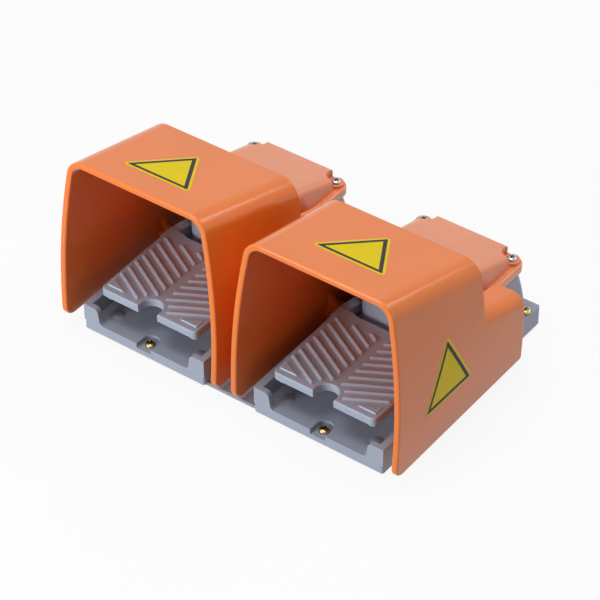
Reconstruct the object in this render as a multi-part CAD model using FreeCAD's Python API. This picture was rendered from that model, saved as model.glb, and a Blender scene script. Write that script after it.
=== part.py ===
import FreeCAD, Part
import math
import os

# Twin guarded foot switch. Two equal switches stand side by side on one steel joining plate.
# X is across, Y runs from the toe end to the cable end, Z is up. All sizes are millimetres.
# One switch is drawn round X 0, with Y 0 at the front of its base and Z 0 under its base.

V = FreeCAD.Vector
X_AXIS, Y_AXIS, Z_AXIS = V(1, 0, 0), V(0, 1, 0), V(0, 0, 1)

# Pan head screws: thread radius, head radius, head height
m5 = (2.5, 4.5, 3.3)
m4 = (2.0, 4.0, 2.6)
screw_bite = 10.0
screw_play = 0.25

# Clearances
slide_gap = 0.1
face_gap = 0.3
air_gap = 0.6
cut_over = 5.0
stock = 15.0
sunk = 0.5
pedal_side_gap = 3.75
arm_gap = 3.0
hood_cover_gap = 1.2
screw_room = 1.45
foot_clear = 0.82

# Base casting: tray, side walls and rear block
base_half_w = 58.75
tray_len = 101.5
floor_h = 9.0
wall_h = 23.5
wall_t = 5.5
front_wall_t = 4.5
lug_top_w = 9.5
lug_round_r = 4.5
lug_toe_w = 9.25
lug_toe_r = 3.8
rear_block_h = 17.0
base_edge_r = 2.0
under_rim = 5.0
under_pocket_h = 4.0
slot_half_w = 7.0
slot_y = 8.5
slot_floor_z = 4.8

# Pedal
pedal_h = 6.7
pedal_skin_t = 3.5
pedal_taper = 3.5
pedal_corner_r = 4.0
pedal_edge_r = 1.2
pedal_cut_r = 12.0
notch_half_w = 9.3
notch_depth = 13.7
pedal_front_gap = 2.3
pedal_cut_gap = 7.5
pedal_bend_gap = 2.0
arm_w = 8.5
arm_depth = 9.0
foot_r = 4.2
foot_h = 4.0
foot_y = 14.0
rib_w = 2.6
rib_h = 1.2
rib_pitch = 9.04
rib_count = 9
rib_angle = 29.0
rib_edge = 2.8
rib_in_x = 4.8
rib_first_y = 28.4
rib_rear_margin = 11.2
rib_short_in = (14.9, 11.4)
pad_front_y = 12.0
pad_w = 15.7
foot_edge = 1.5

# Base casting: switch chamber
pivot_back = 40.5
rear_block_step = 3.5
rear_room = 2.8
rim_step = 10.5
chamber_front_r = 12.0
chamber_wall_t = 4.5
chamber_floor_z = 7.0
wide_corner_r = 8.5
rim_ledge_h = 6.0
rim_corner_r = 8.0
rear_wall_t = 9.5
rear_lean = 13.1
rear_bulge = 1.7
rear_levels = 6

# Terminal cover and its gasket
gasket_t = 1.2
gasket_inset = 1.0
cover_rear_over = 3.5
flange_rear_over = 5.2
cover_lip = 1.0
cover_front_r = 13.0
cover_rise = 6.3
cover_slope = 0.29
cover_edge_r = 5.0
cover_t = 3.0
flange_h = 7.2
flange_corner_r = 9.0
flange_edge_r = 1.5
scallop_r = 10.0
scallop_in = 7.1
scallop_front = 0.8
screw_rear_in = 8.0
screw_rear_front = 3.0
screw_front_in = 4.8
screw_front_step = 7.0
cover_boss_r = 6.3
cover_boss_h = 2.2

# Guard hood
hood_wall_gap = 1.5
hood_t = 5.3
hood_widest_z = 38.0
hood_wall_r = 590.0
hood_top_z = 161.0
hood_slope = 0.2607
hood_corner_r = 16.0
hood_bottom_z = 8.0
hood_rim_y = -7.8
hood_rim_lean = 0.05
hood_toe_r = 9.0
hood_heel_r = 3.0
hood_edge_r = 1.5
shoulder_r = 11.0
shoulder_rise = 13.8
shoulder_skirt_t = 3.0
shoulder_over = 6.0
tab_step = 1.0
tab_h = 9.0
tab_len = 14.0
gusset_t = 4.0
gusset_h = 14.0
ear_h = 9.2

# Pivot, cam lever and return springs
shaft_r = 5.0
bush_t = 2.0
bush_flange_w = 2.0
bush_flange_t = 1.5
boss_wall = 4.5
boss_lift = 4.5
boss_room = 2.5
pin_r = 1.5
cam_half_w = 6.0
cam_hub_wall = 3.5
cam_reach = 20.0
cam_nose_r = 3.0
cam_foot_t = 5.0
cam_gap = 0.3
press_angle = 9.0
spring_mean_r = 5.2
spring_wire_r = 1.0
spring_turns = 3
spring_x = 10.0
spring_reach = 21.0

# Contact block with its plunger and bracket
plunger_r = 3.0
plunger_len = 14.0
plunger_show = 9.7
block_half_w = 15.0
block_front = 10.0
block_rear = 24.0
block_h = 22.0
block_above_rim = 3.0
block_round_r = 1.5
barrier_w = 1.6
barrier_h = 3.0
bracket_t = 2.0
bracket_inset = 2.0
bracket_grip = 12.0
terminal_x = 8.5
terminal_inset = 7.0
terminal_r = 3.2
terminal_play = 0.8
terminal_deep = 4.0

# Cable gland in the rear wall
gland_drop = 21.5
gland_boss_wall = 5.0
gland_thread_wall = 4.0
gland_thread_len = 9.0
gland_bore_r = 6.0
gland_hex_af = 24.0
gland_hex_t = 4.0
gland_nut_len = 12.0
gland_nut_lip = 1.5
gland_nut_taper = 3.0
gland_neck_wall = 2.5
gland_nut_end = 4.0
gland_grooves = 12
gland_groove_r = 1.1
gland_seal_t = 1.5
seal_inset = 1.0

# The pair and its joining plate
hood_gap = 13.0
plate_t = 3.0
plate_inset = 4.4
plate_corner_r = 4.0
floor_bolt_r = 3.25
floor_bolt_front = 60.0
floor_bolt_rear = 32.0

# Places across one switch
pedal_half_rear = base_half_w - wall_t - pedal_side_gap
pedal_half_front = pedal_half_rear - pedal_taper
pedal_cut_half = pedal_half_rear - arm_w
chamber_half_w = pedal_cut_half - arm_gap
wide_half_w = base_half_w - lug_top_w - air_gap
cover_half_w = chamber_half_w + cover_lip
flange_half_w = wide_half_w + cover_lip / 2
shoulder_inner_x = flange_half_w + hood_cover_gap + face_gap
tab_screw_x = base_half_w + screw_room + m5[1]
ear_x = tab_screw_x + m5[1]
hood_half_w = ear_x + hood_wall_gap + hood_t
switch_pitch = 2 * hood_half_w + hood_gap
foot_x = pedal_half_front - foot_r - foot_edge
rib_out_x = pedal_half_front - rib_edge

# Places along one switch
pedal_front_y = front_wall_t + pedal_front_gap
notch_end_y = pedal_front_y + notch_depth
chamber_front_y = tray_len
pivot_y = chamber_front_y + pivot_back
plunger_y = pivot_y + cam_reach
wide_y = pivot_y + shaft_r + boss_wall + boss_room
rim_ledge_y = chamber_front_y + rim_step
rear_block_y = wide_y - rear_block_step
pedal_cut_y = chamber_front_y - pedal_cut_gap
pedal_bend_y = pedal_cut_y + pedal_bend_gap
rib_last_y = pedal_cut_y - rib_rear_margin
cover_front_y = chamber_front_y - hood_cover_gap
rear_top_y = plunger_y + block_rear + rear_room + rear_wall_t
rear_foot_y = rear_top_y + rear_lean
base_depth = rear_foot_y + air_gap
cover_rear_y = rear_top_y + cover_rear_over
flange_rear_y = rear_top_y + flange_rear_over
scallop_at = (wide_half_w - scallop_in, rear_top_y - scallop_front)
cover_screw_rear = (wide_half_w - screw_rear_in, rear_top_y - screw_rear_front)
cover_screw_front = (wide_half_w - screw_front_in, rim_ledge_y + screw_front_step)
hood_rear_y = cover_front_y + hood_t
shoulder_rear_y = wide_y + shoulder_over
tab_ys = (rim_ledge_y + tab_step, shoulder_rear_y - tab_len)
floor_bolt_ys = (floor_bolt_front, base_depth - floor_bolt_rear)
gland_end_y = base_depth + gland_hex_t + gland_nut_len

# Heights
arm_boss_r = shaft_r + boss_wall
pivot_z = floor_h + arm_boss_r + boss_lift
foot_swing = (pivot_y - foot_y + foot_r) * math.sin(math.radians(press_angle))
pedal_top_z = floor_h + foot_clear + foot_swing + foot_h + pedal_h
plunger_low_z = pivot_z + cam_nose_r + cam_gap
block_low_z = plunger_low_z + plunger_show
block_top_z = block_low_z + block_h
chamber_top_z = block_top_z - block_above_rim
spring_top_z = pivot_z - cam_foot_t / 2
ear_low_z = m5[2] + air_gap
ear_top_z = ear_low_z + ear_h
cover_z = chamber_top_z + gasket_t
flange_top_z = cover_z + flange_h
cover_rear_z = flange_top_z + cover_rise
shoulder_rear_z = cover_z + shoulder_rise
gland_z = chamber_top_z - gland_drop

# Sizes that follow from the ones above
bush_r = shaft_r + bush_t
cam_hub_r = shaft_r + cam_hub_wall
arm_boss_in = chamber_half_w + bush_flange_t + cam_gap
arm_boss_out = pedal_half_rear + air_gap
pin_x = (pedal_cut_half + arm_boss_out) / 2
gland_thread_r = gland_bore_r + gland_thread_wall
gland_boss_r = gland_thread_r + gland_boss_wall
gland_neck_r = gland_bore_r + gland_neck_wall
gland_neck_len = gland_nut_len - gland_nut_end
gland_nut_r = gland_thread_r + gland_nut_lip
hood_toe_y = hood_rim_y + hood_rim_lean * hood_bottom_z
mid_y = (hood_toe_y + gland_end_y) / 2
rib_tan = math.tan(math.radians(rib_angle))
rib_cos = math.cos(math.radians(rib_angle))


def block(x0, x1, y0, y1, z0, z1):
    return Part.makeBox(x1 - x0, y1 - y0, z1 - z0, V(x0, y0, z0))


def both_sides(shape):
    return [shape, shape.mirror(V(0, 0, 0), X_AXIS)]


def fused(shapes):
    shapes = list(shapes)
    return shapes[0].multiFuse(shapes[1:]).removeSplitter() if len(shapes) > 1 else shapes[0]


def face_of(edges):
    return Part.Face(Part.Wire(Part.__sortEdges__(edges)))


def line(a, b):
    return Part.LineSegment(a, b).toShape()


def arc(a, b, c):
    return Part.Arc(a, b, c).toShape()


def round_corner_points(corner, before, after, r):
    """Tangent arc of radius r in a corner: its start, middle and end."""
    a, b = (before - corner).normalize(), (after - corner).normalize()
    half = a.getAngle(b) / 2
    reach = r / math.tan(half)
    centre = corner + (a + b).normalize() * (r / math.sin(half))
    return corner + a * reach, centre + (corner - centre).normalize() * r, corner + b * reach


def rounded_outline(points, radii):
    """Closed wire through points with each corner rounded to its own radius, 0 for a sharp one."""
    edges, starts, ends = [], [], []
    n = len(points)
    for i, (p, r) in enumerate(zip(points, radii)):
        if r <= 0:
            starts.append(p)
            ends.append(p)
            continue
        s, m, e = round_corner_points(p, points[i - 1], points[(i + 1) % n], r)
        edges.append(arc(s, m, e))
        starts.append(s)
        ends.append(e)
    for i in range(n):
        a, b = ends[i], starts[(i + 1) % n]
        if a.distanceToPoint(b) > 1e-6:
            edges.append(line(a, b))
    return Part.Wire(Part.__sortEdges__(edges))


def plan_outline(half_w, y0, y1, front_r, rear_r, z):
    points = [V(-half_w, y0, z), V(half_w, y0, z), V(half_w, y1, z), V(-half_w, y1, z)]
    return rounded_outline(points, (front_r, front_r, rear_r, rear_r))


def plan_block(half_w, y0, y1, front_r, rear_r, z0, z1):
    return Part.Face(plan_outline(half_w, y0, y1, front_r, rear_r, z0)).extrude(V(0, 0, z1 - z0))


def side_block(points, radii, x0, x1):
    """Outline in Y and Z, drawn at X x0 and pulled across to x1."""
    wire = rounded_outline([V(x0, y, z) for y, z in points], radii)
    return Part.Face(wire).extrude(V(x1 - x0, 0, 0))


def rod(x, y, z, r, length, direction=Z_AXIS):
    return Part.makeCylinder(r, length, V(x, y, z), direction)


def pan_screw(x, y, seat_z, size, length, upward=False):
    """Pan head screw on its seat, with a cross recess in its head; an upward one is driven from below."""
    thread_r, head_r, head_h = size
    shank = rod(x, y, seat_z - length, thread_r, length)
    rim = head_h * 0.5
    crown = Part.makeCone(head_r, head_r * 0.72, head_h - rim, V(x, y, seat_z + rim))
    head = rod(x, y, seat_z, head_r, rim).fuse(crown)
    arm = head_r * 0.55
    slot_w, slot_d = head_r * 0.13, head_h * 0.45
    top = seat_z + head_h
    cross = [block(x - arm, x + arm, y - slot_w, y + slot_w, top - slot_d, top + 1),
             block(x - slot_w, x + slot_w, y - arm, y + arm, top - slot_d, top + 1)]
    screw = shank.fuse(head).cut(cross[0]).cut(cross[1]).removeSplitter()
    return screw.mirror(V(0, 0, seat_z), Z_AXIS) if upward else screw


# Base casting

def rear_wall_y(z):
    """Rear face of the chamber: it leans forward as it rises and bulges a little between."""
    t = (z - floor_h) / (chamber_top_z - floor_h)
    return rear_foot_y - rear_lean * t + rear_bulge * 4 * t * (1 - t)


def front_lug():
    """Right end of the front wall: flat top, rounded shoulder and a hollow toe down to the floor."""
    x_flat = base_half_w - lug_top_w
    x_face = x_flat - lug_round_r
    x_toe = x_flat - lug_toe_w
    x_foot = x_toe + lug_toe_r
    z_foot = floor_h + lug_toe_r
    q = math.sqrt(0.5)

    def p(x, z):
        return V(x, 0, z)

    edges = [line(p(base_half_w, floor_h - 1), p(base_half_w, wall_h)),
             line(p(base_half_w, wall_h), p(x_flat, wall_h)),
             arc(p(x_flat, wall_h), p(x_flat - lug_round_r * q, wall_h - lug_round_r * (1 - q)),
                 p(x_face, wall_h - lug_round_r)),
             line(p(x_face, wall_h - lug_round_r), p(x_foot, z_foot)),
             arc(p(x_foot, z_foot), p(x_foot - lug_toe_r * (1 - q), floor_h + lug_toe_r * (1 - q)),
                 p(x_toe, floor_h)),
             line(p(x_toe, floor_h), p(x_toe, floor_h - 1)),
             line(p(x_toe, floor_h - 1), p(base_half_w, floor_h - 1))]
    return face_of(edges).extrude(V(0, front_wall_t, 0))


def chamber_outside():
    neck = plan_block(chamber_half_w, chamber_front_y, wide_y + wall_t, chamber_front_r, 0,
                      floor_h - 1, chamber_top_z)
    wires = []
    for i in range(rear_levels):
        z = floor_h - 1 + (chamber_top_z - floor_h + 1) * i / (rear_levels - 1)
        wires.append(plan_outline(wide_half_w, wide_y, rear_wall_y(z), base_edge_r, wide_corner_r, z))
    wide = Part.makeLoft(wires, True, False)
    ledge = plan_block(wide_half_w, rim_ledge_y, wide_y + chamber_wall_t, rim_corner_r, 0,
                       chamber_top_z - rim_ledge_h, chamber_top_z)
    gland_boss = rod(0, plunger_y, gland_z, gland_boss_r, base_depth - plunger_y, Y_AXIS)
    return [neck, wide, ledge, gland_boss]


def chamber_hollow():
    rear_y = rear_wall_y(chamber_top_z) - rear_wall_t
    high = chamber_top_z + cut_over
    neck = plan_block(chamber_half_w - chamber_wall_t, chamber_front_y + chamber_wall_t,
                      wide_y + 2 * chamber_wall_t, chamber_front_r - chamber_wall_t, 0, chamber_floor_z, high)
    wide = plan_block(wide_half_w - chamber_wall_t, wide_y + chamber_wall_t, rear_y,
                      0, wide_corner_r - chamber_wall_t, chamber_floor_z, high)
    return neck.fuse(wide)


def base_screw_places():
    rear_x = base_half_w - m5[1] - air_gap
    return [(0, slot_y, slot_floor_z), (rear_x, base_depth - rear_lean, rear_block_h),
            (-rear_x, base_depth - rear_lean, rear_block_h)]


def base_casting():
    slab = plan_block(base_half_w, 0, base_depth, base_edge_r, base_edge_r, 0, floor_h)
    walls = both_sides(block(base_half_w - wall_t, base_half_w, front_wall_t / 2, rear_block_y + wall_t,
                             floor_h - 1, wall_h))
    lugs = both_sides(front_lug())
    rear = plan_block(base_half_w, rear_block_y, base_depth, 0, base_edge_r, 0, rear_block_h)
    ears = []
    for y in tab_ys:
        ears += both_sides(block(base_half_w - wall_t, ear_x, y - tab_len / 2, y + tab_len / 2,
                                 ear_low_z, ear_top_z))
    body = fused([slab] + walls + lugs + [rear] + ears + chamber_outside())
    body = body.cut(chamber_hollow())
    bush_half = chamber_half_w + sunk
    body = body.cut(rod(-bush_half, pivot_y, pivot_z, bush_r, 2 * bush_half, X_AXIS))
    thread_y = base_depth - gland_thread_len
    body = body.cut(rod(0, thread_y, gland_z, gland_thread_r, cut_over + gland_thread_len, Y_AXIS))
    passage_r = gland_bore_r + 2 * seal_inset
    body = body.cut(rod(0, plunger_y, gland_z, passage_r, base_depth - plunger_y, Y_AXIS))
    slot = block(-slot_half_w, slot_half_w, -cut_over, slot_y, slot_floor_z, floor_h + 1)
    slot = slot.fuse(rod(0, slot_y, slot_floor_z, slot_half_w, floor_h))
    body = body.cut(slot)
    pocket = block(-base_half_w + under_rim, base_half_w - under_rim, 2 * slot_y + m5[1],
                   chamber_front_y - under_rim, -cut_over, under_pocket_h)
    for x in (-base_half_w / 2, 0, base_half_w / 2):
        pocket = pocket.cut(block(x - under_rim / 2, x + under_rim / 2, 0, base_depth, 0, under_pocket_h))
    body = body.cut(pocket)
    for x, y, seat in base_screw_places():
        body = body.cut(rod(x, y, -cut_over, m5[0] + screw_play, seat + 2 * cut_over))
    for y in tab_ys:
        for hole in both_sides(rod(tab_screw_x, y, 0, m5[0] + screw_play, ear_top_z + 1)):
            body = body.cut(hole)
    for x, y in (cover_screw_rear, cover_screw_front):
        for hole in both_sides(rod(x, y, chamber_top_z - screw_bite, m4[0], screw_bite + 1)):
            body = body.cut(hole)
    return body


# Terminal cover, gasket and their screws

def cover_top_z(y):
    return cover_rear_z + cover_slope * (cover_rear_y - y)


def cover_body(inset):
    """Sloping box of the cover; inset 0 is its outside and cover_t its inside."""
    half = cover_half_w - inset
    y0, y1 = cover_front_y + inset, cover_rear_y - inset
    drop = inset * math.hypot(1, cover_slope)
    body = plan_block(half, y0, y1, cover_front_r - inset, 0, cover_z, cover_top_z(y0) + cut_over)
    a, b = y0 - stock, y1 + stock
    slope = [(a, cover_top_z(a) - drop), (b, cover_top_z(b) - drop), (b, hood_top_z), (a, hood_top_z)]
    above = side_block(slope, (0, 0, 0, 0), -half - stock, half + stock)
    body = body.cut(above)
    top_edges = [e for e in body.Edges
                 if abs(abs(e.CenterOfMass.x) - half) < 0.01 and e.BoundBox.YLength > (y1 - y0) / 2
                 and e.CenterOfMass.z > flange_top_z]
    body = body.makeFillet(cover_edge_r - inset / 2, top_edges)
    reach = scallop_r + inset
    for cutter in both_sides(rod(scallop_at[0], scallop_at[1], cover_z - 1, reach, hood_top_z)):
        body = body.cut(cutter)
    return body


def cover_flange():
    neck = plan_block(cover_half_w, cover_front_y, wide_y, cover_front_r, 0, cover_z, flange_top_z)
    wide = plan_block(flange_half_w, rim_ledge_y, flange_rear_y, flange_corner_r, flange_corner_r,
                      cover_z, flange_top_z)
    rim = [e for e in wide.Edges if e.BoundBox.ZMin > flange_top_z - 0.01]
    return neck.fuse(wide.makeFillet(flange_edge_r, rim))


def terminal_cover():
    screw_x, screw_y = cover_screw_rear
    bosses = both_sides(rod(screw_x, screw_y, cover_z, cover_boss_r, flange_h + cover_boss_h))
    body = fused([cover_body(0), cover_flange()] + bosses)
    hollow = cover_body(cover_t)
    for post in both_sides(rod(screw_x, screw_y, cover_z - 1, cover_boss_r, hood_top_z)):
        hollow = hollow.cut(post)
    body = body.cut(hollow)
    for x, y in (cover_screw_rear, cover_screw_front):
        for hole in both_sides(rod(x, y, cover_z - 1, m4[0] + screw_play, hood_top_z)):
            body = body.cut(hole)
    return body


def cover_gasket():
    neck = plan_block(chamber_half_w - gasket_inset, chamber_front_y + gasket_inset, wide_y,
                      chamber_front_r - gasket_inset, 0, chamber_top_z, cover_z)
    rear_y = rear_wall_y(chamber_top_z) - gasket_inset / 2
    wide = plan_block(wide_half_w - gasket_inset, rim_ledge_y + gasket_inset, rear_y, rim_corner_r,
                      wide_corner_r, chamber_top_z, cover_z)
    hollow_front = chamber_front_y + chamber_wall_t
    opening = plan_block(chamber_half_w - chamber_wall_t, hollow_front, rear_y - rear_wall_t,
                         chamber_front_r - chamber_wall_t, wide_corner_r - chamber_wall_t,
                         chamber_top_z - 1, cover_z + 1)
    ring = neck.fuse(wide).removeSplitter().cut(opening)
    for x, y in (cover_screw_rear, cover_screw_front):
        for hole in both_sides(rod(x, y, chamber_top_z - 1, m4[0] + screw_play, 2 * cut_over)):
            ring = ring.cut(hole)
    return ring


def cover_screws():
    shapes = []
    rear_seat = flange_top_z + cover_boss_h
    for (x, y), seat in ((cover_screw_rear, rear_seat), (cover_screw_front, flange_top_z)):
        length = seat - chamber_top_z + screw_bite - 1
        shapes += [pan_screw(side * x, y, seat, m4, length) for side in (1, -1)]
    return Part.makeCompound(shapes)


# Guard hood

def hood_top_at(y):
    return hood_top_z - hood_slope * y


def shoulder_top_at(y):
    return shoulder_rear_z + hood_slope * (shoulder_rear_y - y)


def hood_wall_x(z, inset):
    wall_r = hood_wall_r - inset
    return hood_half_w - hood_wall_r + math.sqrt(wall_r ** 2 - (z - hood_widest_z) ** 2)


def hood_form(y0, y1, top_at, corner_r, inset, bottom_z):
    """Bowed side walls under a sloping flat top, with the long upper edges rounded."""
    high = top_at(y0) + cut_over
    zs = (bottom_z, (bottom_z + high) / 2, high)
    right = [V(hood_wall_x(z, inset), y0, z) for z in zs]
    left = [V(-hood_wall_x(z, inset), y0, z) for z in zs]
    section = face_of([arc(*right), line(right[2], left[2]), arc(*left), line(left[0], right[0])])
    body = section.extrude(V(0, y1 - y0, 0))
    drop = inset * math.hypot(1, hood_slope)
    a, b = y0 - 1, y1 + 1
    slope = [(a, top_at(a) - drop), (b, top_at(b) - drop), (b, high + cut_over), (a, high + cut_over)]
    above = side_block(slope, (0, 0, 0, 0), -hood_half_w - cut_over, hood_half_w + cut_over)
    body = body.cut(above)
    long_edges = [e for e in body.Edges if e.BoundBox.YLength > (y1 - y0) * 0.9
                  and e.CenterOfMass.z > top_at((y0 + y1) / 2) - drop - 1]
    return body.makeFillet(corner_r - inset, long_edges)


def hood_tab(y):
    """Right-hand tab with its gusset, standing on an ear of the base."""
    inner, outer = base_half_w + 2 * air_gap, hood_half_w - hood_t / 2
    top, side_y = ear_top_z + tab_h, y - gusset_t / 2
    tab = block(inner, outer, y - tab_len / 2, y + tab_len / 2, ear_top_z, top)
    gusset = [V(inner + 2, side_y, top), V(outer, side_y, top), V(outer, side_y, top + gusset_h)]
    web = Part.Face(Part.makePolygon(gusset + gusset[:1])).extrude(V(0, gusset_t, 0))
    return tab.fuse(web)


def guard_hood():
    front_y = hood_rim_y - stock
    low = hood_bottom_z - cut_over
    top = hood_top_z + 3 * stock
    outline = [(hood_toe_y, hood_bottom_z), (shoulder_rear_y, hood_bottom_z), (shoulder_rear_y, top),
               (hood_rim_y + hood_rim_lean * top, top)]
    keep = side_block(outline, (hood_toe_r, hood_heel_r, 0, 0), -hood_half_w - stock, hood_half_w + stock)
    upper = hood_form(front_y, hood_rear_y, hood_top_at, hood_corner_r, 0, low).common(keep)
    shoulders = hood_form(hood_rear_y - hood_t, shoulder_rear_y + stock, shoulder_top_at, shoulder_r, 0, low)
    shoulders = shoulders.common(keep)
    shoulders = shoulders.cut(block(-shoulder_inner_x, shoulder_inner_x, 0, 2 * base_depth, 0, hood_top_z))
    body = upper.multiFuse(shoulders.Solids)
    skirt_x = shoulder_inner_x + shoulder_skirt_t
    inner_y = hood_rear_y - 2 * hood_t
    upper_in = hood_form(front_y - 1, hood_rear_y - hood_t, hood_top_at, hood_corner_r, hood_t, low - 1)
    shoulder_in = hood_form(inner_y, shoulder_rear_y - hood_t, shoulder_top_at, shoulder_r, hood_t, low - 1)
    shoulder_in = shoulder_in.cut(block(-skirt_x, skirt_x, 0, 2 * base_depth, 0, hood_top_z))
    below_skirt = block(-skirt_x - 1, skirt_x + 1, inner_y, shoulder_rear_y - hood_t, low - 1, cover_z)
    doorway = plan_block(flange_half_w + hood_cover_gap, inner_y, hood_rear_y + 1, 0, 0, low,
                         flange_top_z + hood_cover_gap)
    cover_gap = cover_body(-hood_cover_gap)
    base_gap_x = base_half_w + 2 * air_gap
    base_gap = block(-base_gap_x, base_gap_x, inner_y, 2 * base_depth, low - 1, wall_h)
    for cutter in (upper_in, shoulder_in, below_skirt, doorway, cover_gap, base_gap):
        body = body.cut(cutter)
    rim_end_y = hood_rim_y + hood_rim_lean * hood_top_z
    rim = [e for e in body.Edges if abs(e.CenterOfMass.x) < 1 and e.BoundBox.YMax < rim_end_y
           and e.CenterOfMass.z > hood_top_z - 2 * hood_t]
    body = body.makeFillet(hood_edge_r, rim)
    tabs = []
    for y in tab_ys:
        tabs += both_sides(hood_tab(y))
    body = body.multiFuse(tabs)
    for y in tab_ys:
        for hole in both_sides(rod(tab_screw_x, y, ear_top_z - 1, m5[0], tab_h)):
            body = body.cut(hole)
    return body


def hood_screws():
    length = ear_h + tab_h - 2
    return Part.makeCompound([pan_screw(side * tab_screw_x, y, ear_low_z, m5, length, True)
                              for y in tab_ys for side in (1, -1)])


# Pedal

def pedal_plate(top_z, height):
    low = top_z - height
    points = [V(-pedal_half_front, pedal_front_y, low), V(pedal_half_front, pedal_front_y, low),
              V(pedal_half_rear, pedal_bend_y, low), V(-pedal_half_rear, pedal_bend_y, low)]
    wire = rounded_outline(points, (pedal_corner_r, pedal_corner_r, 0, 0))
    return Part.Face(wire).extrude(V(0, 0, height))


def pedal_arm():
    """Right arm: slopes down beside the chamber from the plate to the pivot boss."""
    boss_top = pivot_z + arm_boss_r
    root_y = pedal_bend_y - pedal_cut_r
    points = [(root_y, pedal_top_z - pedal_h), (root_y, pedal_top_z - sunk), (pedal_bend_y, pedal_top_z - sunk),
              (pedal_bend_y, pedal_top_z), (pivot_y, boss_top), (pivot_y, boss_top - arm_depth),
              (pedal_bend_y, pedal_top_z - pedal_h)]
    arm = side_block(points, (0,) * len(points), pedal_cut_half, pedal_half_rear)
    boss = rod(arm_boss_in, pivot_y, pivot_z, arm_boss_r, arm_boss_out - arm_boss_in, X_AXIS)
    return arm.fuse(boss)


def rib(x_in, x_out, y_out):
    """One raised bar of the right half, round at both ends, leaning forward towards the middle."""
    y_in = y_out - (x_out - x_in) * rib_tan
    length = (x_out - x_in) / rib_cos
    height = rib_h + sunk
    bar = block(0, length, -rib_w / 2, rib_w / 2, 0, height)
    bar = fused([bar, rod(0, 0, 0, rib_w / 2, height), rod(length, 0, 0, rib_w / 2, height)])
    bar.rotate(V(0, 0, 0), Z_AXIS, rib_angle)
    bar.translate(V(x_in, y_in, pedal_top_z - sunk))
    return bar


def pedal_ribs():
    ribs = []
    for i in range(rib_count):
        y_out, x_out = rib_first_y + i * rib_pitch, rib_out_x
        if y_out > rib_last_y:
            x_out -= (y_out - rib_last_y) / rib_tan
            y_out = rib_last_y
        x_in = rib_short_in[i] if i < len(rib_short_in) else rib_in_x
        if x_out > x_in + rib_w:
            ribs += both_sides(rib(x_in, x_out, y_out))
    low = pedal_top_z - sunk
    corner = [V(rib_out_x - pad_w, pad_front_y, low), V(rib_out_x, pad_front_y, low),
              V(rib_out_x, pad_front_y + pad_w * rib_tan, low)]
    pad = Part.Face(Part.makePolygon(corner + corner[:1])).extrude(V(0, 0, rib_h + sunk))
    return ribs + both_sides(pad)


def pedal_pockets():
    """Hollows under the right half of the plate: one beside the notch and two behind it."""
    top = pedal_top_z - pedal_skin_t
    out_x = pedal_half_front - pedal_skin_t
    front_y, front_end_y = pedal_front_y + pedal_skin_t, notch_end_y + pedal_skin_t
    rear_y = notch_end_y + 2 * pedal_skin_t
    rear_len = (pedal_cut_y - notch_end_y) / 2 - 3 * pedal_skin_t
    second_y = rear_y + rear_len + 2 * pedal_skin_t
    return [block(notch_half_w + pedal_skin_t, out_x, front_y, front_end_y, 0, top),
            block(pedal_skin_t / 2, out_x, rear_y, rear_y + rear_len, 0, top),
            block(pedal_skin_t / 2, out_x, second_y, second_y + rear_len, 0, top)]


def pedal():
    plate = pedal_plate(pedal_top_z, pedal_h)
    for pocket in pedal_pockets():
        for cutter in both_sides(pocket):
            plate = plate.cut(cutter)
    notch_round_y = notch_end_y - notch_half_w
    notch = block(-notch_half_w, notch_half_w, -cut_over, notch_round_y, 0, hood_top_z)
    notch = notch.fuse(rod(0, notch_round_y, 0, notch_half_w, hood_top_z))
    cut_end_y = pivot_y - arm_boss_r - 1
    cut = plan_block(pedal_cut_half, pedal_cut_y, cut_end_y, pedal_cut_r, 0, 0, hood_top_z)
    plate = plate.cut(notch)
    upper_edges = [e for e in plate.Edges
                   if e.BoundBox.ZMin > pedal_top_z - 0.01 and e.BoundBox.YMin < pedal_bend_y - 1]
    plate = plate.makeFillet(pedal_edge_r, upper_edges)
    feet = both_sides(rod(foot_x, foot_y, pedal_top_z - pedal_h - foot_h, foot_r, foot_h + pedal_h - 1))
    body = fused([plate] + feet + both_sides(pedal_arm()) + pedal_ribs())
    body = body.cut(cut)
    body = body.cut(rod(-hood_half_w, pivot_y, pivot_z, shaft_r, 2 * hood_half_w, X_AXIS))
    for hole in both_sides(rod(pin_x, pivot_y, 0, pin_r, hood_top_z / 2)):
        body = body.cut(hole)
    return body


# Pivot, cam, springs

def pivot_shaft():
    shaft = rod(-arm_boss_out, pivot_y, pivot_z, shaft_r, 2 * arm_boss_out, X_AXIS)
    for x in (pin_x, -pin_x):
        shaft = shaft.cut(rod(x, pivot_y, 0, pin_r, hood_top_z / 2))
    return shaft.cut(rod(0, pivot_y, 0, pin_r, hood_top_z / 2))


def shaft_pins():
    low = pivot_z - arm_boss_r + sunk
    length = 2 * (arm_boss_r - sunk)
    return Part.makeCompound([rod(x, pivot_y, low, pin_r, length) for x in (pin_x, -pin_x)])


def pivot_bushes():
    shapes = []
    for s in (1, -1):
        out = V(s, 0, 0)
        inner_x = chamber_half_w - chamber_wall_t
        tube = rod(s * inner_x, pivot_y, pivot_z, bush_r, chamber_wall_t, out)
        flange = rod(s * chamber_half_w, pivot_y, pivot_z, bush_r + bush_flange_w, bush_flange_t, out)
        bore = rod(0, pivot_y, pivot_z, shaft_r + slide_gap / 2, hood_half_w, out)
        shapes.append(tube.fuse(flange).removeSplitter().cut(bore))
    return Part.makeCompound(shapes)


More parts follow.
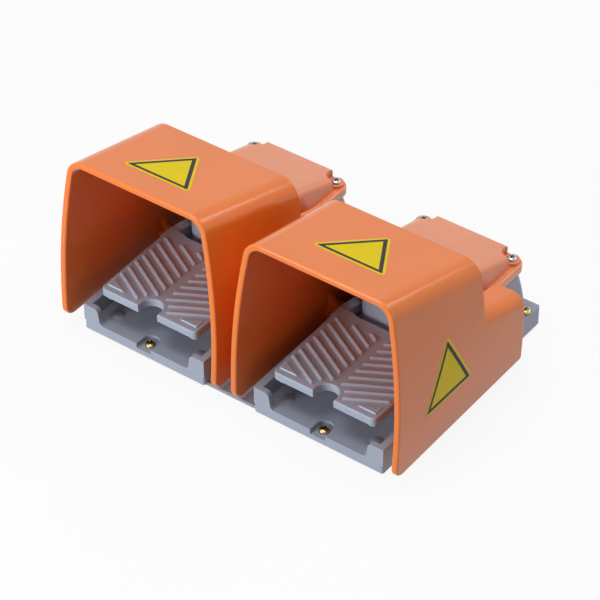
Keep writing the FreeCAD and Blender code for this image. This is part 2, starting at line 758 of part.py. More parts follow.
def cam_lever():
    """Lever on the shaft; its nose lies under the plunger."""
    hub = rod(-cam_half_w, pivot_y, pivot_z, cam_hub_r, 2 * cam_half_w, X_AXIS)
    nose = rod(-cam_half_w, plunger_y, pivot_z, cam_nose_r, 2 * cam_half_w, X_AXIS)
    web = block(-cam_half_w, cam_half_w, pivot_y, plunger_y, pivot_z - cam_nose_r, pivot_z + cam_nose_r)
    spring_y = pivot_y - spring_reach
    foot_half = spring_x + spring_mean_r + spring_wire_r
    arm = block(-cam_half_w, cam_half_w, spring_y, pivot_y, spring_top_z, spring_top_z + cam_foot_t)
    foot = block(-foot_half, foot_half, spring_y - spring_mean_r, spring_y + spring_mean_r,
                 spring_top_z, spring_top_z + cam_foot_t)
    lever = fused([hub, nose, web, arm, foot])
    lever = lever.cut(rod(-2 * cam_half_w, pivot_y, pivot_z, shaft_r, 4 * cam_half_w, X_AXIS))
    return lever.cut(rod(0, pivot_y, 0, pin_r, hood_top_z / 2))


def cam_pin():
    half = cam_hub_r - face_gap
    return rod(0, pivot_y, pivot_z - half, pin_r, 2 * half)


def return_spring(x):
    """Compression coil between the chamber floor and the foot of the cam lever."""
    y = pivot_y - spring_reach
    low = chamber_floor_z + spring_wire_r
    length = spring_top_z - spring_wire_r - low
    start = V(spring_mean_r, 0, 0)
    profile = Part.Wire(Part.Circle(start, Y_AXIS, spring_wire_r).toShape())
    coil = Part.Wire(Part.makeHelix(length / spring_turns, length, spring_mean_r))
    coil = coil.makePipeShell([profile], True, True)
    coil.translate(V(x, y, low))
    return coil


# Contact block

def plunger():
    return rod(0, plunger_y, plunger_low_z, plunger_r, plunger_len)


def terminal_places():
    front, rear = plunger_y - block_front + terminal_inset, plunger_y + block_rear - terminal_inset
    return [(x, y) for x in (-terminal_x, terminal_x) for y in (front, rear)]


def contact_block():
    y0, y1 = plunger_y - block_front, plunger_y + block_rear
    body = block(-block_half_w, block_half_w, y0, y1, block_low_z, block_top_z)
    body = body.makeFillet(block_round_r, [e for e in body.Edges if e.BoundBox.ZLength > block_h / 2])
    lift = math.radians(press_angle) * cam_reach
    well = plunger_len - plunger_show + lift + 1
    body = body.cut(rod(0, plunger_y, block_low_z, plunger_r + slide_gap / 2, well))
    for x, y in terminal_places():
        body = body.cut(rod(x, y, block_top_z - terminal_deep, terminal_r + terminal_play, terminal_deep + 1))
    barrier = block(-barrier_w / 2, barrier_w / 2, y0, y1, block_top_z - 1, block_top_z + barrier_h)
    return body.fuse(barrier).removeSplitter()


def terminal_screws():
    seat = block_top_z - terminal_deep
    head_h = terminal_deep * 0.6
    slot_half = terminal_r / 8
    shapes = []
    for x, y in terminal_places():
        slot = block(x - terminal_r, x + terminal_r, y - slot_half, y + slot_half,
                     seat + head_h - 1, block_top_z)
        shapes.append(rod(x, y, seat, terminal_r, head_h).cut(slot))
    return Part.makeCompound(shapes)


def block_bracket():
    half = block_half_w + bracket_t
    y0, y1 = plunger_y - block_front + bracket_inset, plunger_y + block_rear - bracket_inset
    top = block_low_z + bracket_grip
    outer = block(-half, half, y0, y1, chamber_floor_z, top)
    inner_z = chamber_floor_z + bracket_t
    return outer.cut(block(-block_half_w, block_half_w, y0 - 1, y1 + 1, inner_z, top + 1))


# Cable gland

def hexagon(y, across_flats, length):
    """Hexagonal prism along Y with the corners of its rear face turned down."""
    r = across_flats / math.sqrt(3)
    points = [V(r * math.cos(math.radians(60 * i)), y, gland_z + r * math.sin(math.radians(60 * i)))
              for i in range(6)]
    prism = Part.Face(Part.makePolygon(points + points[:1])).extrude(V(0, length, 0))
    straight = 0.75 * length
    core = rod(0, y, gland_z, r + sunk, straight, Y_AXIS)
    chamfer = Part.makeCone(r + sunk, across_flats / 2, length - straight, V(0, y + straight, gland_z), Y_AXIS)
    return prism.common(core.fuse(chamfer))


def gland_body():
    thread_y = base_depth - gland_thread_len
    stud = rod(0, thread_y, gland_z, gland_thread_r, gland_thread_len, Y_AXIS)
    neck = rod(0, base_depth + gland_hex_t, gland_z, gland_neck_r, gland_neck_len, Y_AXIS)
    body = fused([stud, hexagon(base_depth, gland_hex_af, gland_hex_t), neck])
    return body.cut(rod(0, thread_y - 1, gland_z, gland_bore_r, gland_end_y - thread_y, Y_AXIS))


def gland_nut():
    """Domed nut, straight and grooved at its front and tapered towards the cord."""
    y0 = base_depth + gland_hex_t
    straight = gland_nut_len * 0.6
    points = [V(0, y0, 0), V(gland_nut_r, y0, 0), V(gland_nut_r, y0 + straight, 0),
              V(gland_nut_r - gland_nut_taper, gland_end_y, 0), V(0, gland_end_y, 0)]
    dome = Part.Face(Part.makePolygon(points + points[:1])).revolve(V(0, 0, 0), Y_AXIS, 360)
    dome.translate(V(0, 0, gland_z))
    groove_at = gland_nut_r + gland_groove_r / 2
    for i in range(gland_grooves):
        angle = 2 * math.pi * i / gland_grooves
        x, z = groove_at * math.cos(angle), gland_z + groove_at * math.sin(angle)
        dome = dome.cut(rod(x, y0 - 1, z, gland_groove_r, straight, Y_AXIS))
    dome = dome.cut(rod(0, y0 - 1, gland_z, gland_neck_r, gland_neck_len + 1, Y_AXIS))
    return dome.cut(rod(0, y0 - 1, gland_z, gland_bore_r, gland_nut_len + 2, Y_AXIS))


def gland_seal():
    length = gland_hex_t + gland_nut_len - 2 * seal_inset
    outer = rod(0, base_depth + seal_inset, gland_z, gland_bore_r, length, Y_AXIS)
    return outer.cut(rod(0, base_depth, gland_z, gland_bore_r - gland_seal_t, gland_end_y - base_depth, Y_AXIS))


# Joining plate and base screws

def joining_plate():
    half = switch_pitch / 2 + base_half_w - plate_inset
    plate = plan_block(half, plate_inset, base_depth - plate_inset, plate_corner_r, plate_corner_r, -plate_t, 0)
    for y in floor_bolt_ys:
        plate = plate.cut(rod(0, y, -plate_t - 1, floor_bolt_r, plate_t + 2))
    for centre in (-switch_pitch / 2, switch_pitch / 2):
        for x, y, _ in base_screw_places():
            plate = plate.cut(rod(centre + x, y, -plate_t - 1, m5[0], plate_t + 2))
    return plate


def base_screws():
    return Part.makeCompound([pan_screw(x, y, seat, m5, seat + plate_t - face_gap)
                              for x, y, seat in base_screw_places()])


def one_switch():
    return {
        "base_casting": base_casting(), "terminal_cover": terminal_cover(), "cover_gasket": cover_gasket(),
        "cover_screws": cover_screws(), "guard_hood": guard_hood(), "hood_screws": hood_screws(),
        "base_screws": base_screws(), "pedal": pedal(), "pivot_shaft": pivot_shaft(), "shaft_pins": shaft_pins(),
        "pivot_bushes": pivot_bushes(), "cam_lever": cam_lever(), "cam_pin": cam_pin(),
        "return_springs": Part.makeCompound([return_spring(x) for x in (-spring_x, spring_x)]),
        "plunger": plunger(), "contact_block": contact_block(), "terminal_screws": terminal_screws(),
        "block_bracket": block_bracket(), "gland_body": gland_body(), "gland_nut": gland_nut(),
        "gland_seal": gland_seal(),
    }


def write(shape, name, x):
    shape = shape.copy()
    shape.translate(V(x, -mid_y, plate_t))
    shape.exportStep("parts/" + name + ".step")


os.makedirs("parts", exist_ok=True)
write(joining_plate(), "joining_plate", 0)
for piece, solid in one_switch().items():
    write(solid, "left_" + piece, -switch_pitch / 2)
    write(solid, "right_" + piece, switch_pitch / 2)
print("pivot y", round(pivot_y - mid_y, 3), "z", pivot_z + plate_t, "mid_y", round(mid_y, 3))
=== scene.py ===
"""Twin guarded foot switch: painted castings, labels, screws, cord glands and the studio round them."""

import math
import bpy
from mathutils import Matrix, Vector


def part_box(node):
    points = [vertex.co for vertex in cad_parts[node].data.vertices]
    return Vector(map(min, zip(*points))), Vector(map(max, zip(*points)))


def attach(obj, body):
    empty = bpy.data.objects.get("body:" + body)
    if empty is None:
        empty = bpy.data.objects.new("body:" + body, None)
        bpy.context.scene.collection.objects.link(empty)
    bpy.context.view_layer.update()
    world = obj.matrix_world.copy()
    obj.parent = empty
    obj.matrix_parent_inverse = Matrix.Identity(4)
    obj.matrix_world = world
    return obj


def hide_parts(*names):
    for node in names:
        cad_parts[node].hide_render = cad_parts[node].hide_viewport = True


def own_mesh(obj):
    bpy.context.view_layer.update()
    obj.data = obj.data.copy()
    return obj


bl_info = {
    "name": "Twin guarded foot switch",
    "version": (1, 0, 0),
    "blender": (4, 5, 0),
    "location": "3D View > Sidebar > Foot switch",
    "description": "Finishes and small parts of a twin foot switch with guard hoods",
    "category": "Object",
}

import bmesh
import bpy
import numpy as np
from bpy.props import FloatProperty, FloatVectorProperty, PointerProperty
from mathutils import Matrix, Vector
from mathutils.bvhtree import BVHTree

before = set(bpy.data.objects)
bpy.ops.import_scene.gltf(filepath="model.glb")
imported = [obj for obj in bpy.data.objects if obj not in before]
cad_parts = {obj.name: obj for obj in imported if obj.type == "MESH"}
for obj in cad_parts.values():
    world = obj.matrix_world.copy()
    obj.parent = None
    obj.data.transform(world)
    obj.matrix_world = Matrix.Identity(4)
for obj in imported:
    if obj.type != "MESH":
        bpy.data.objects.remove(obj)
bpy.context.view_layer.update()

MM = 0.001
SIDES = ("left", "right")

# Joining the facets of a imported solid, and the points of a new piece, in metres and radians
MERGE_DISTANCE = 1e-6
FINE_MERGE = 1e-7
FLAT_ANGLE = math.radians(0.2)
SHARP_ANGLE = math.radians(35.0)

# How far off the object a ray starts
RAY_START = 50 * MM

# The photograph's view: turn, height and roll of the camera in degrees, place and lens
CAMERA_TURN = 36.7445
CAMERA_HEIGHT = 39.7336
CAMERA_ROLL = -0.4599
CAMERA_PLACE = (0.9147, -1.2453, 1.3093)
CAMERA_LENS = 155.77

# Lamps: place and width in metres; their powers are properties with the same names
LAMPS = {"top": ((-0.15, -0.15, 1.65), 1.0), "front": ((-0.5, -1.5, 0.42), 0.7),
         "side": ((1.5, 0.5, 0.5), 0.8), "back": ((0.75, 1.4, 1.3), 0.8)}
LAMPS_AIM = (0, 0, 0.06)
FLOOR_HALF = 4.0
FLOOR_GAP = 0.05 * MM
FLOOR_WHITE = 1.06

# Screws by node: height of the head and pitch of the thread in mm, the thread's share of the head's radius, 1 for
# heads on top or -1 for heads below, turn of the first recess in radians, and slot
SCREWS = {"base_screws": (3.3, 0.8, 2.5 / 4.5, 1, 0.4, "yellow_zinc"),
          "cover_screws": (2.6, 0.7, 2.0 / 4.0, 1, 0.2, "bright_zinc"),
          "hood_screws": (3.3, 0.8, 2.5 / 4.5, -1, 0.9, "bright_zinc")}


def unit_origin(side):
    """Middle of one switch across, at the front and underside of its base."""
    low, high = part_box(side + "_base_casting")
    return Vector(((low.x + high.x) / 2, low.y, low.z))


# Materials

class Finish:
    """One procedural material, built on object coordinates."""

    def __init__(self, name):
        """Starts with a plain shader; place is the socket that patterns read."""
        self.material = bpy.data.materials.new(name)
        self.material.use_nodes = True
        self.tree = self.material.node_tree
        self.shader = self.tree.nodes["Principled BSDF"]
        self.place = self.tree.nodes.new("ShaderNodeTexCoord").outputs["Object"]

    def node(self, kind, **values):
        """New shader node; each keyword names an input, with _ for its spaces."""
        made = self.tree.nodes.new("ShaderNode" + kind)
        for key, value in values.items():
            made.inputs[key.replace("_", " ")].default_value = value
        return made

    def link(self, source, target):
        """Wires one socket to another."""
        self.tree.links.new(source, target)

    def set(self, **values):
        """Numbers that are the same all over, straight on the shader."""
        for key, value in values.items():
            self.shader.inputs[key.replace("_", " ")].default_value = value

    def noise(self, scale, detail=2.0, roughness=0.5, stretch=None):
        """Cloudy value from 0 to 1; scale is in turns per metre, and stretch scales the three axes."""
        place = self.place
        if stretch is not None:
            mapping = self.node("Mapping", Scale=stretch)
            self.link(place, mapping.inputs["Vector"])
            place = mapping.outputs["Vector"]
        cloud = self.node("TexNoise", Scale=scale, Detail=detail, Roughness=roughness)
        self.link(place, cloud.inputs["Vector"])
        return cloud.outputs[0]

    def cells(self, scale, randomness=1.0):
        """Distance to the nearest of many scattered points."""
        cell = self.node("TexVoronoi", Scale=scale, Randomness=randomness)
        self.link(self.place, cell.inputs["Vector"])
        return cell.outputs["Distance"]

    def span(self, value, low, high, out_low=0.0, out_high=1.0):
        """Value from low to high spread over out_low to out_high and clipped there."""
        ranged = self.node("MapRange", From_Min=low, From_Max=high, To_Min=out_low, To_Max=out_high)
        self.link(value, ranged.inputs["Value"])
        return ranged.outputs["Result"]

    def mix(self, share, first, second):
        """Colour between first and second; each is a socket or a colour."""
        blend = self.tree.nodes.new("ShaderNodeMix")
        blend.data_type = "RGBA"
        self.link(share, blend.inputs[0])
        for socket, value in ((blend.inputs[6], first), (blend.inputs[7], second)):
            if isinstance(value, bpy.types.NodeSocket):
                self.link(value, socket)
            else:
                socket.default_value = (*value, 1)
        return blend.outputs[2]

    def colour(self, value):
        """Wires the base colour."""
        self.link(value, self.shader.inputs["Base Color"])

    def roughness(self, value, low, high, middle, spread_down, spread_up):
        """Wires the roughness: value from low to high goes from middle * spread_down to middle * spread_up."""
        self.link(self.span(value, low, high, middle * spread_down, middle * spread_up),
                  self.shader.inputs["Roughness"])

    def relief(self, *layers):
        """Bump layers, each a height socket with its depth in metres, laid one on another."""
        normal = None
        for height, depth in layers:
            bump = self.node("Bump", Strength=1.0, Distance=depth)
            self.link(height, bump.inputs["Height"])
            if normal is not None:
                self.link(normal, bump.inputs["Normal"])
            normal = bump.outputs["Normal"]
        self.link(normal, self.shader.inputs["Normal"])


def shade(colour, factor):
    """Colour made lighter or darker, and never lighter than white."""
    return tuple(min(1.0, c * factor) for c in colour)


def paint_finish(name, colour, roughness, coat, coat_roughness, coat_ior, peel_depth):
    """Sprayed enamel: slow drift in tone, fine orange peel, faint pores and uneven gloss."""
    drift_scale, gloss_scale, peel_scale, pore_scale = 14.0, 60.0, 420.0, 900.0
    finish = Finish(name)
    drift = finish.span(finish.noise(drift_scale, 3.0), 0.3, 0.7)
    finish.colour(finish.mix(drift, shade(colour, 0.96), shade(colour, 1.04)))
    finish.roughness(finish.noise(gloss_scale, 4.0, 0.6), 0.25, 0.75, roughness, 0.85, 1.15)
    finish.set(Coat_Weight=coat, Coat_Roughness=coat_roughness, Coat_IOR=coat_ior, IOR=1.45)
    pores = finish.span(finish.cells(pore_scale), 0.0, 0.12)
    finish.relief((finish.noise(peel_scale, 2.0, 0.4), peel_depth), (pores, peel_depth / 3))
    return finish.material


def cast_finish(name, colour, roughness, grain_depth):
    """Satin paint over a die casting: fine grain, soft mottling and a few duller patches."""
    mottle_scale, speck_scale, gloss_scale, grain_scale, swell_scale = 45.0, 1500.0, 30.0, 1100.0, 180.0
    finish = Finish(name)
    mottle = finish.span(finish.noise(mottle_scale, 5.0, 0.6), 0.3, 0.7)
    speck = finish.span(finish.noise(speck_scale, 2.0, 0.7), 0.45, 0.62)
    base = finish.mix(mottle, shade(colour, 0.94), shade(colour, 1.05))
    finish.colour(finish.mix(speck, shade(colour, 0.9), base))
    finish.roughness(finish.noise(gloss_scale, 4.0, 0.6), 0.25, 0.75, roughness, 0.85, 1.2)
    finish.set(Coat_Weight=0.15, Coat_Roughness=0.3, IOR=1.5)
    finish.relief((finish.noise(grain_scale, 3.0, 0.6), grain_depth),
                  (finish.noise(swell_scale, 2.0), grain_depth / 2))
    return finish.material


def metal_finish(name, colour, roughness, brush=None, second=None):
    """Bare or plated metal: drawn or turned streaks along brush, and a second tint in soft patches."""
    patch_scale, streak_scale, streak_depth = 160.0, 700.0, 0.01 * MM
    finish = Finish(name)
    patches = finish.span(finish.noise(patch_scale, 4.0, 0.6), 0.35, 0.65)
    finish.colour(finish.mix(patches, colour, second or shade(colour, 0.85)))
    streaks = finish.noise(streak_scale, 3.0, 0.6, stretch=brush or (1.0, 1.0, 1.0))
    finish.roughness(streaks, 0.3, 0.7, roughness, 0.7, 1.3)
    finish.set(Metallic=1.0)
    finish.relief((streaks, streak_depth))
    return finish.material


def chromate_finish(name, colour, pink, green, roughness):
    """Yellow chromate plate: gold with weak pink and green bloom."""
    pink_scale, green_scale, gloss_scale, grain_scale, grain_depth = 420.0, 310.0, 900.0, 1200.0, 0.008 * MM
    finish = Finish(name)
    first = finish.span(finish.noise(pink_scale, 2.0), 0.45, 0.62)
    second = finish.span(finish.noise(green_scale, 2.0, 0.4, stretch=(1.0, 1.6, 0.7)), 0.5, 0.66)
    finish.colour(finish.mix(second, finish.mix(first, colour, pink), green))
    finish.roughness(finish.noise(gloss_scale, 3.0), 0.3, 0.7, roughness, 2 / 3, 4 / 3)
    finish.set(Metallic=1.0)
    finish.relief((finish.noise(grain_scale, 2.0), grain_depth))
    return finish.material


def moulded_finish(name, colour, roughness):
    """Moulded plastic or rubber with a fine matte grain."""
    cloud_scale, gloss_scale, grain_scale, grain_depth = 80.0, 240.0, 1300.0, 0.02 * MM
    finish = Finish(name)
    cloud = finish.span(finish.noise(cloud_scale, 3.0), 0.3, 0.7)
    finish.colour(finish.mix(cloud, shade(colour, 0.9), shade(colour, 1.1)))
    finish.roughness(finish.noise(gloss_scale, 3.0), 0.3, 0.7, roughness, 0.9, 1.1)
    finish.relief((finish.noise(grain_scale, 2.0, 0.6), grain_depth))
    return finish.material


def printed_finish(name, colour, roughness):
    """Printed film: even ink with a faint lay of the film's surface."""
    cloud_scale, gloss_scale, lay_scale, lay_depth = 50.0, 200.0, 500.0, 0.006 * MM
    finish = Finish(name)
    cloud = finish.span(finish.noise(cloud_scale, 2.0), 0.3, 0.7)
    finish.colour(finish.mix(cloud, shade(colour, 0.97), shade(colour, 1.03)))
    finish.roughness(finish.noise(gloss_scale, 2.0), 0.3, 0.7, roughness, 0.9, 1.1)
    finish.set(Specular_IOR_Level=0.1)
    finish.relief((finish.noise(lay_scale, 1.0), lay_depth))
    return finish.material


# Meshes

def finished(piece, body, slot, *nodes):
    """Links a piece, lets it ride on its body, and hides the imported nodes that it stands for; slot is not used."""
    if piece.name not in bpy.context.scene.collection.objects:
        bpy.context.scene.collection.objects.link(piece)
    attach(piece, body)
    if nodes:
        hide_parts(*nodes)
    return piece


def rounded_copy(node, name, edge_r, materials, segments=3, cuts=(), reshape=None, crown=None):
    """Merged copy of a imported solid: flat facets are joined, and each sharp edge gets a round of edge_r.

    cuts are places along Y where the faces are divided first, reshape moves the points, given as one array, and
    crown changes the merged faces.
    """
    work = bmesh.new()
    work.from_mesh(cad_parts[node].data)
    bmesh.ops.remove_doubles(work, verts=work.verts, dist=MERGE_DISTANCE)
    bmesh.ops.dissolve_limit(work, angle_limit=FLAT_ANGLE, verts=work.verts, edges=work.edges)
    for y in cuts:
        everything = work.verts[:] + work.edges[:] + work.faces[:]
        bmesh.ops.bisect_plane(work, geom=everything, dist=MERGE_DISTANCE, plane_co=(0, y, 0), plane_no=(0, 1, 0))
    if crown is not None:
        crown(work)
    mesh = bpy.data.meshes.new(name)
    work.to_mesh(mesh)
    work.free()
    if reshape is not None:
        points = np.empty(len(mesh.vertices) * 3, np.float32)
        mesh.vertices.foreach_get("co", points)
        mesh.vertices.foreach_set("co", reshape(points.reshape(-1, 3)).astype(np.float32).ravel())
    mesh.polygons.foreach_set("use_smooth", np.ones(len(mesh.polygons), bool))
    for material in materials:
        mesh.materials.append(material)
    piece = bpy.data.objects.new(name, mesh)
    bevel = piece.modifiers.new("rounding", "BEVEL")
    bevel.width = edge_r
    bevel.segments = segments
    bevel.limit_method = "ANGLE"
    bevel.angle_limit = SHARP_ANGLE
    bevel.use_clamp_overlap = True
    bevel.miter_outer = "MITER_ARC"
    piece.modifiers.new("even_shading", "WEIGHTED_NORMAL")
    return piece


def grid_faces(rows, columns, closed_rows=False, closed_columns=True):
    """Corner numbers of the quads between neighbouring rows and columns, each direction open or closed."""
    r = np.arange(rows if closed_rows else rows - 1)
    c = np.arange(columns if closed_columns else columns - 1)
    r, c = np.meshgrid(r, c, indexing="ij")
    r2, c2 = (r + 1) % rows, (c + 1) % columns
    quads = np.stack((r * columns + c, r * columns + c2, r2 * columns + c2, r2 * columns + c), axis=-1)
    return quads.reshape(-1, 4)


def piece_of(name, parts, materials, marks=None):
    """Piece from (points, faces) parts with doubles merged and faces turned outwards; marks name each face's slot."""
    points = np.concatenate([p for p, _ in parts])
    starts = np.cumsum([0] + [len(p) for p, _ in parts])
    faces = [face for start, (_, quads) in zip(starts, parts) for face in (quads + start).tolist()]
    mesh = bpy.data.meshes.new(name)
    mesh.from_pydata(points.tolist(), [], faces)
    for material in materials:
        mesh.materials.append(material)
    if marks is not None:
        mesh.polygons.foreach_set("material_index", marks)
    work = bmesh.new()
    work.from_mesh(mesh)
    bmesh.ops.remove_doubles(work, verts=work.verts, dist=FINE_MERGE)
    bmesh.ops.dissolve_degenerate(work, edges=work.edges, dist=FINE_MERGE)
    bmesh.ops.recalc_face_normals(work, faces=work.faces)
    work.to_mesh(mesh)
    work.free()
    mesh.polygons.foreach_set("use_smooth", np.ones(len(mesh.polygons), bool))
    mesh.set_sharp_from_angle(angle=SHARP_ANGLE)
    return bpy.data.objects.new(name, mesh)


def turned(profile, angles, centre, axis):
    """Profile of (along, radius) pairs turned round an axis: point = centre + along * axis + radius * ray(angle)."""
    axis = np.array(axis, float)
    across = np.array((1.0, 0.0, 0.0)) if abs(axis[0]) < 0.5 else np.array((0.0, 1.0, 0.0))
    other = np.cross(axis, across)
    rays = np.cos(angles)[:, None] * across + np.sin(angles)[:, None] * other
    along, radius = np.asarray(profile)[..., 0], np.asarray(profile)[..., 1]
    if along.ndim == 1:
        along, radius = along[:, None], radius[:, None]
    points = np.array(centre) + along[..., None] * axis + radius[..., None] * rays[None]
    return points.reshape(-1, 3)


def separate_boxes(node):
    """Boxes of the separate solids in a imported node; linked corners sink to their lowest common number."""
    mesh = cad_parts[node].data
    mesh.calc_loop_triangles()
    points = np.empty(len(mesh.vertices) * 3, np.float32)
    mesh.vertices.foreach_get("co", points)
    points = points.reshape(-1, 3)
    faces = np.empty(len(mesh.loop_triangles) * 3, np.int32)
    mesh.loop_triangles.foreach_get("vertices", faces)
    _, same = np.unique(np.round(points, 6), axis=0, return_inverse=True)
    same = same.ravel()
    corners = same[faces].reshape(-1, 3)
    label = np.arange(same.max() + 1)
    while True:
        lower = label.copy()
        np.minimum.at(lower, corners.ravel(), np.repeat(label[corners].min(1), 3))
        lower = lower[lower]
        if (lower == label).all():
            break
        label = lower
    groups = label[same]
    return [(points[groups == g].min(0), points[groups == g].max(0)) for g in np.unique(groups)]


# Screws

def cross_head(centre, up, radius, height, spin):
    """Domed head with a cross recess. Square grid turned into a disc: straight inside, round at its rim.

    Height is rim + (height - rim) * (1 - r**flatness)**shoulder, less the recess, whose arms deepen towards the
    middle. Returns the parts, and for each face 1 in the recess and 0 elsewhere; the recess's faces take a dark
    finish, which is painted shade.
    """
    # Shares of the radius: arm's length and half width, its lip, and where the grid begins to turn round
    arm, half_w, lip, inner = 0.56, 0.13, 0.012, 0.62
    # The last share: how deep in the recess a face must lie to take the dark finish that paints its shade
    flatness, shoulder, rim_share, slope_share, recess_share, painted_shade_from = 3.2, 0.55, 0.35, 0.45, 0.62, 0.3
    steps = np.array((0, 0.06, half_w - lip, half_w + lip, 0.22, 0.34, 0.46, arm, inner, 0.7, 0.78, 0.86, 0.92,
                      0.96, 0.985, 1.0))
    line = np.concatenate((-steps[:0:-1], steps))
    u, v = np.meshgrid(line, line, indexing="ij")
    reach = np.maximum(np.abs(u), np.abs(v))
    length = np.maximum(np.hypot(u, v), 1e-9)
    share = np.clip((reach - inner) / (1 - inner), 0, 1)
    scale = (1 - share) + share * reach / length
    x, y = u * scale, v * scale
    r = np.clip(np.hypot(x, y), 0, 1)
    rim = rim_share * height
    z = rim + (height - rim) * (1 - r ** flatness) ** shoulder
    slope = slope_share * arm
    arm_x = np.clip((arm - np.abs(x)) / slope, 0, 1) * (np.abs(y) < half_w)
    arm_y = np.clip((arm - np.abs(y)) / slope, 0, 1) * (np.abs(x) < half_w)
    z = z - recess_share * height * np.maximum(arm_x, arm_y)
    n = len(line)
    c, s = math.cos(spin), math.sin(spin)
    top = np.stack((radius * (c * x - s * y), radius * (s * x + c * y), z * up), axis=-1)
    flat = top.reshape(-1, 3) + centre
    edge = np.concatenate((np.arange(n) * n, (n - 1) * n + np.arange(1, n), np.arange(n - 2, -1, -1) * n + n - 1,
                           np.arange(n - 2, 0, -1)))
    ring = flat[edge]
    under_shares = (1.0, 0.985, 0.9, 0.4, 0.0)
    under = np.stack([centre + (ring - centre) * (k, k, 0) for k in under_shares])
    under[1:, :, 2] = centre[2]
    under[0, :, 2] = centre[2] + up * rim
    parts = [(flat, grid_faces(n, n, False, False)),
             (under.reshape(-1, 3), grid_faces(len(under_shares), len(edge)))]
    sunk = np.maximum(arm_x, arm_y) > painted_shade_from
    recess = sunk[:-1, :-1] & sunk[1:, :-1] & sunk[:-1, 1:] & sunk[1:, 1:]
    return parts, [recess.ravel().astype(np.int32), np.zeros(len(parts[1][1]), np.int32)]


def threaded_shank(centre, up, radius, length, pitch):
    """Shank with a raised thread: radius less depth times how far a point lies from the thread's crest."""
    columns, per_turn, depth, core_share = 20, 5, 0.55 * pitch, 0.75
    inside_head, plain_tip, fade_len = 0.1 * pitch, 0.8 * pitch, 1.2 * pitch
    along = np.linspace(inside_head, -length, int(per_turn * length / pitch) + 2)
    angles = np.arange(columns) * 2 * math.pi / columns
    turn = along[:, None] / pitch * up - angles[None] / (2 * math.pi)
    hollow = np.abs((turn % 1.0) * 2 - 1)
    fade = np.clip((length + along - plain_tip) / fade_len, 0, 1)[:, None]
    r = radius - depth * (hollow * fade + core_share * (1 - fade))
    profile = np.stack((np.repeat(along[:, None] * up, columns, 1), r), axis=-1)
    ends = np.zeros((1, columns, 2))
    first, last = ends + (along[0] * up, 0), ends + (along[-1] * up, 0)
    profile = np.concatenate((first, profile, last))
    return turned(profile, angles, centre, (0, 0, 1)), grid_faces(len(profile), columns)


def screw_set(side, kind, materials):
    """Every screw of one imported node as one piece; each recess is turned a little further than the one before."""
    turn_step = 0.7
    head_h, pitch, thread_share, up, spin, slot = SCREWS[kind]
    head_h, pitch = head_h * MM, pitch * MM
    parts, marks = [], []
    for i, (low, high) in enumerate(separate_boxes(side + "_" + kind)):
        head_r = float(high[0] - low[0]) / 2
        seat = float(high[2]) - head_h if up > 0 else float(low[2]) + head_h
        length = (seat - float(low[2])) if up > 0 else (float(high[2]) - seat)
        centre = np.array(((low[0] + high[0]) / 2, (low[1] + high[1]) / 2, seat), float)
        head, recess = cross_head(centre, up, head_r, head_h, spin + turn_step * i)
        shank = threaded_shank(centre, up, head_r * thread_share, length, pitch)
        parts += head + [shank]
        marks += recess + [np.zeros(len(shank[1]), np.int32)]
    return piece_of(side + "_" + kind[:-1] + "_set", parts, materials, np.concatenate(marks)), slot


# Labels

def triangle_ring(corners, round_r, inset):
    """Outline of a triangle with rounded corners, moved inwards by inset.

    The corners' centres make a smaller triangle; a point is such a centre plus the rest of the radius times
    the side's outward ray, and past the radius the small triangle shrinks towards its middle.
    """
    arc_points, side_points = 7, 12
    following, before = np.roll(corners, -1, 0), np.roll(corners, 1, 0)
    sides = following - corners
    lengths = np.linalg.norm(sides, axis=1)
    rays = np.stack((sides[:, 1], -sides[:, 0]), axis=1) / lengths[:, None]
    weights = np.linalg.norm(following - before, axis=1)
    middle = (corners * weights[:, None]).sum(0) / weights.sum()
    inner_r = abs(np.dot(rays[0], corners[0] - middle))
    shrink = (inner_r - max(round_r, inset)) / inner_r
    centres = middle + (corners - middle) * shrink
    rest = max(round_r - inset, 0.0)
    loops = []
    for i in range(3):
        start = math.atan2(*rays[i - 1][::-1])
        sweep = (math.atan2(*rays[i][::-1]) - start) % (2 * math.pi)
        angles = start + sweep * np.linspace(0, 1, arc_points)
        arc = centres[i] + rest * np.stack((np.cos(angles), np.sin(angles)), axis=1)
        share = np.linspace(0, 1, side_points + 2)[1:-1, None]
        end = centres[i] + rest * rays[i]
        goal = centres[(i + 1) % 3] + rest * rays[i]
        loops += [arc, end + (goal - end) * share]
    return np.concatenate(loops)


def label_piece(name, corners, place, sizes, materials):
    """Film label on a surface: rings of the triangle from the buried rim up to the middle of its face.

    corners are those of the triangle inside the round corners, in mm, and place lifts flat points onto the surface.
    """
    dark_band, borders_in = 4, (1, 2.2, 3.6)
    margin, border, round_r, thick = sizes.margin, sizes.border, sizes.corner, sizes.thickness
    corners = np.array(corners) * MM
    first_side, second_side = corners[1] - corners[0], corners[2] - corners[0]
    if first_side[0] * second_side[1] < first_side[1] * second_side[0]:
        corners = corners[::-1]
    rays = corners - corners.mean(0)
    corners = corners + rays / np.linalg.norm(rays, axis=1)[:, None] * round_r
    buried, edge_h, edge_in = -thick / 2, thick * 0.8, thick * 0.4
    first = triangle_ring(corners, round_r, 0)
    middle = np.broadcast_to(first.mean(0), first.shape)
    rows = [(middle, buried), (first, buried), (first, edge_h)]
    for inset in (edge_in, margin, *(margin + border * share for share in borders_in)):
        rows.append((triangle_ring(corners, round_r, inset), thick))
    rows.append((middle, thick))
    flat = np.concatenate([row for row, _ in rows])
    lift = np.repeat([h for _, h in rows], len(first))
    faces = grid_faces(len(rows), len(first))
    band = np.repeat(np.arange(len(rows) - 1), len(first))
    return piece_of(name, [(place(flat, lift), faces)], materials, (band == dark_band).astype(np.int32))


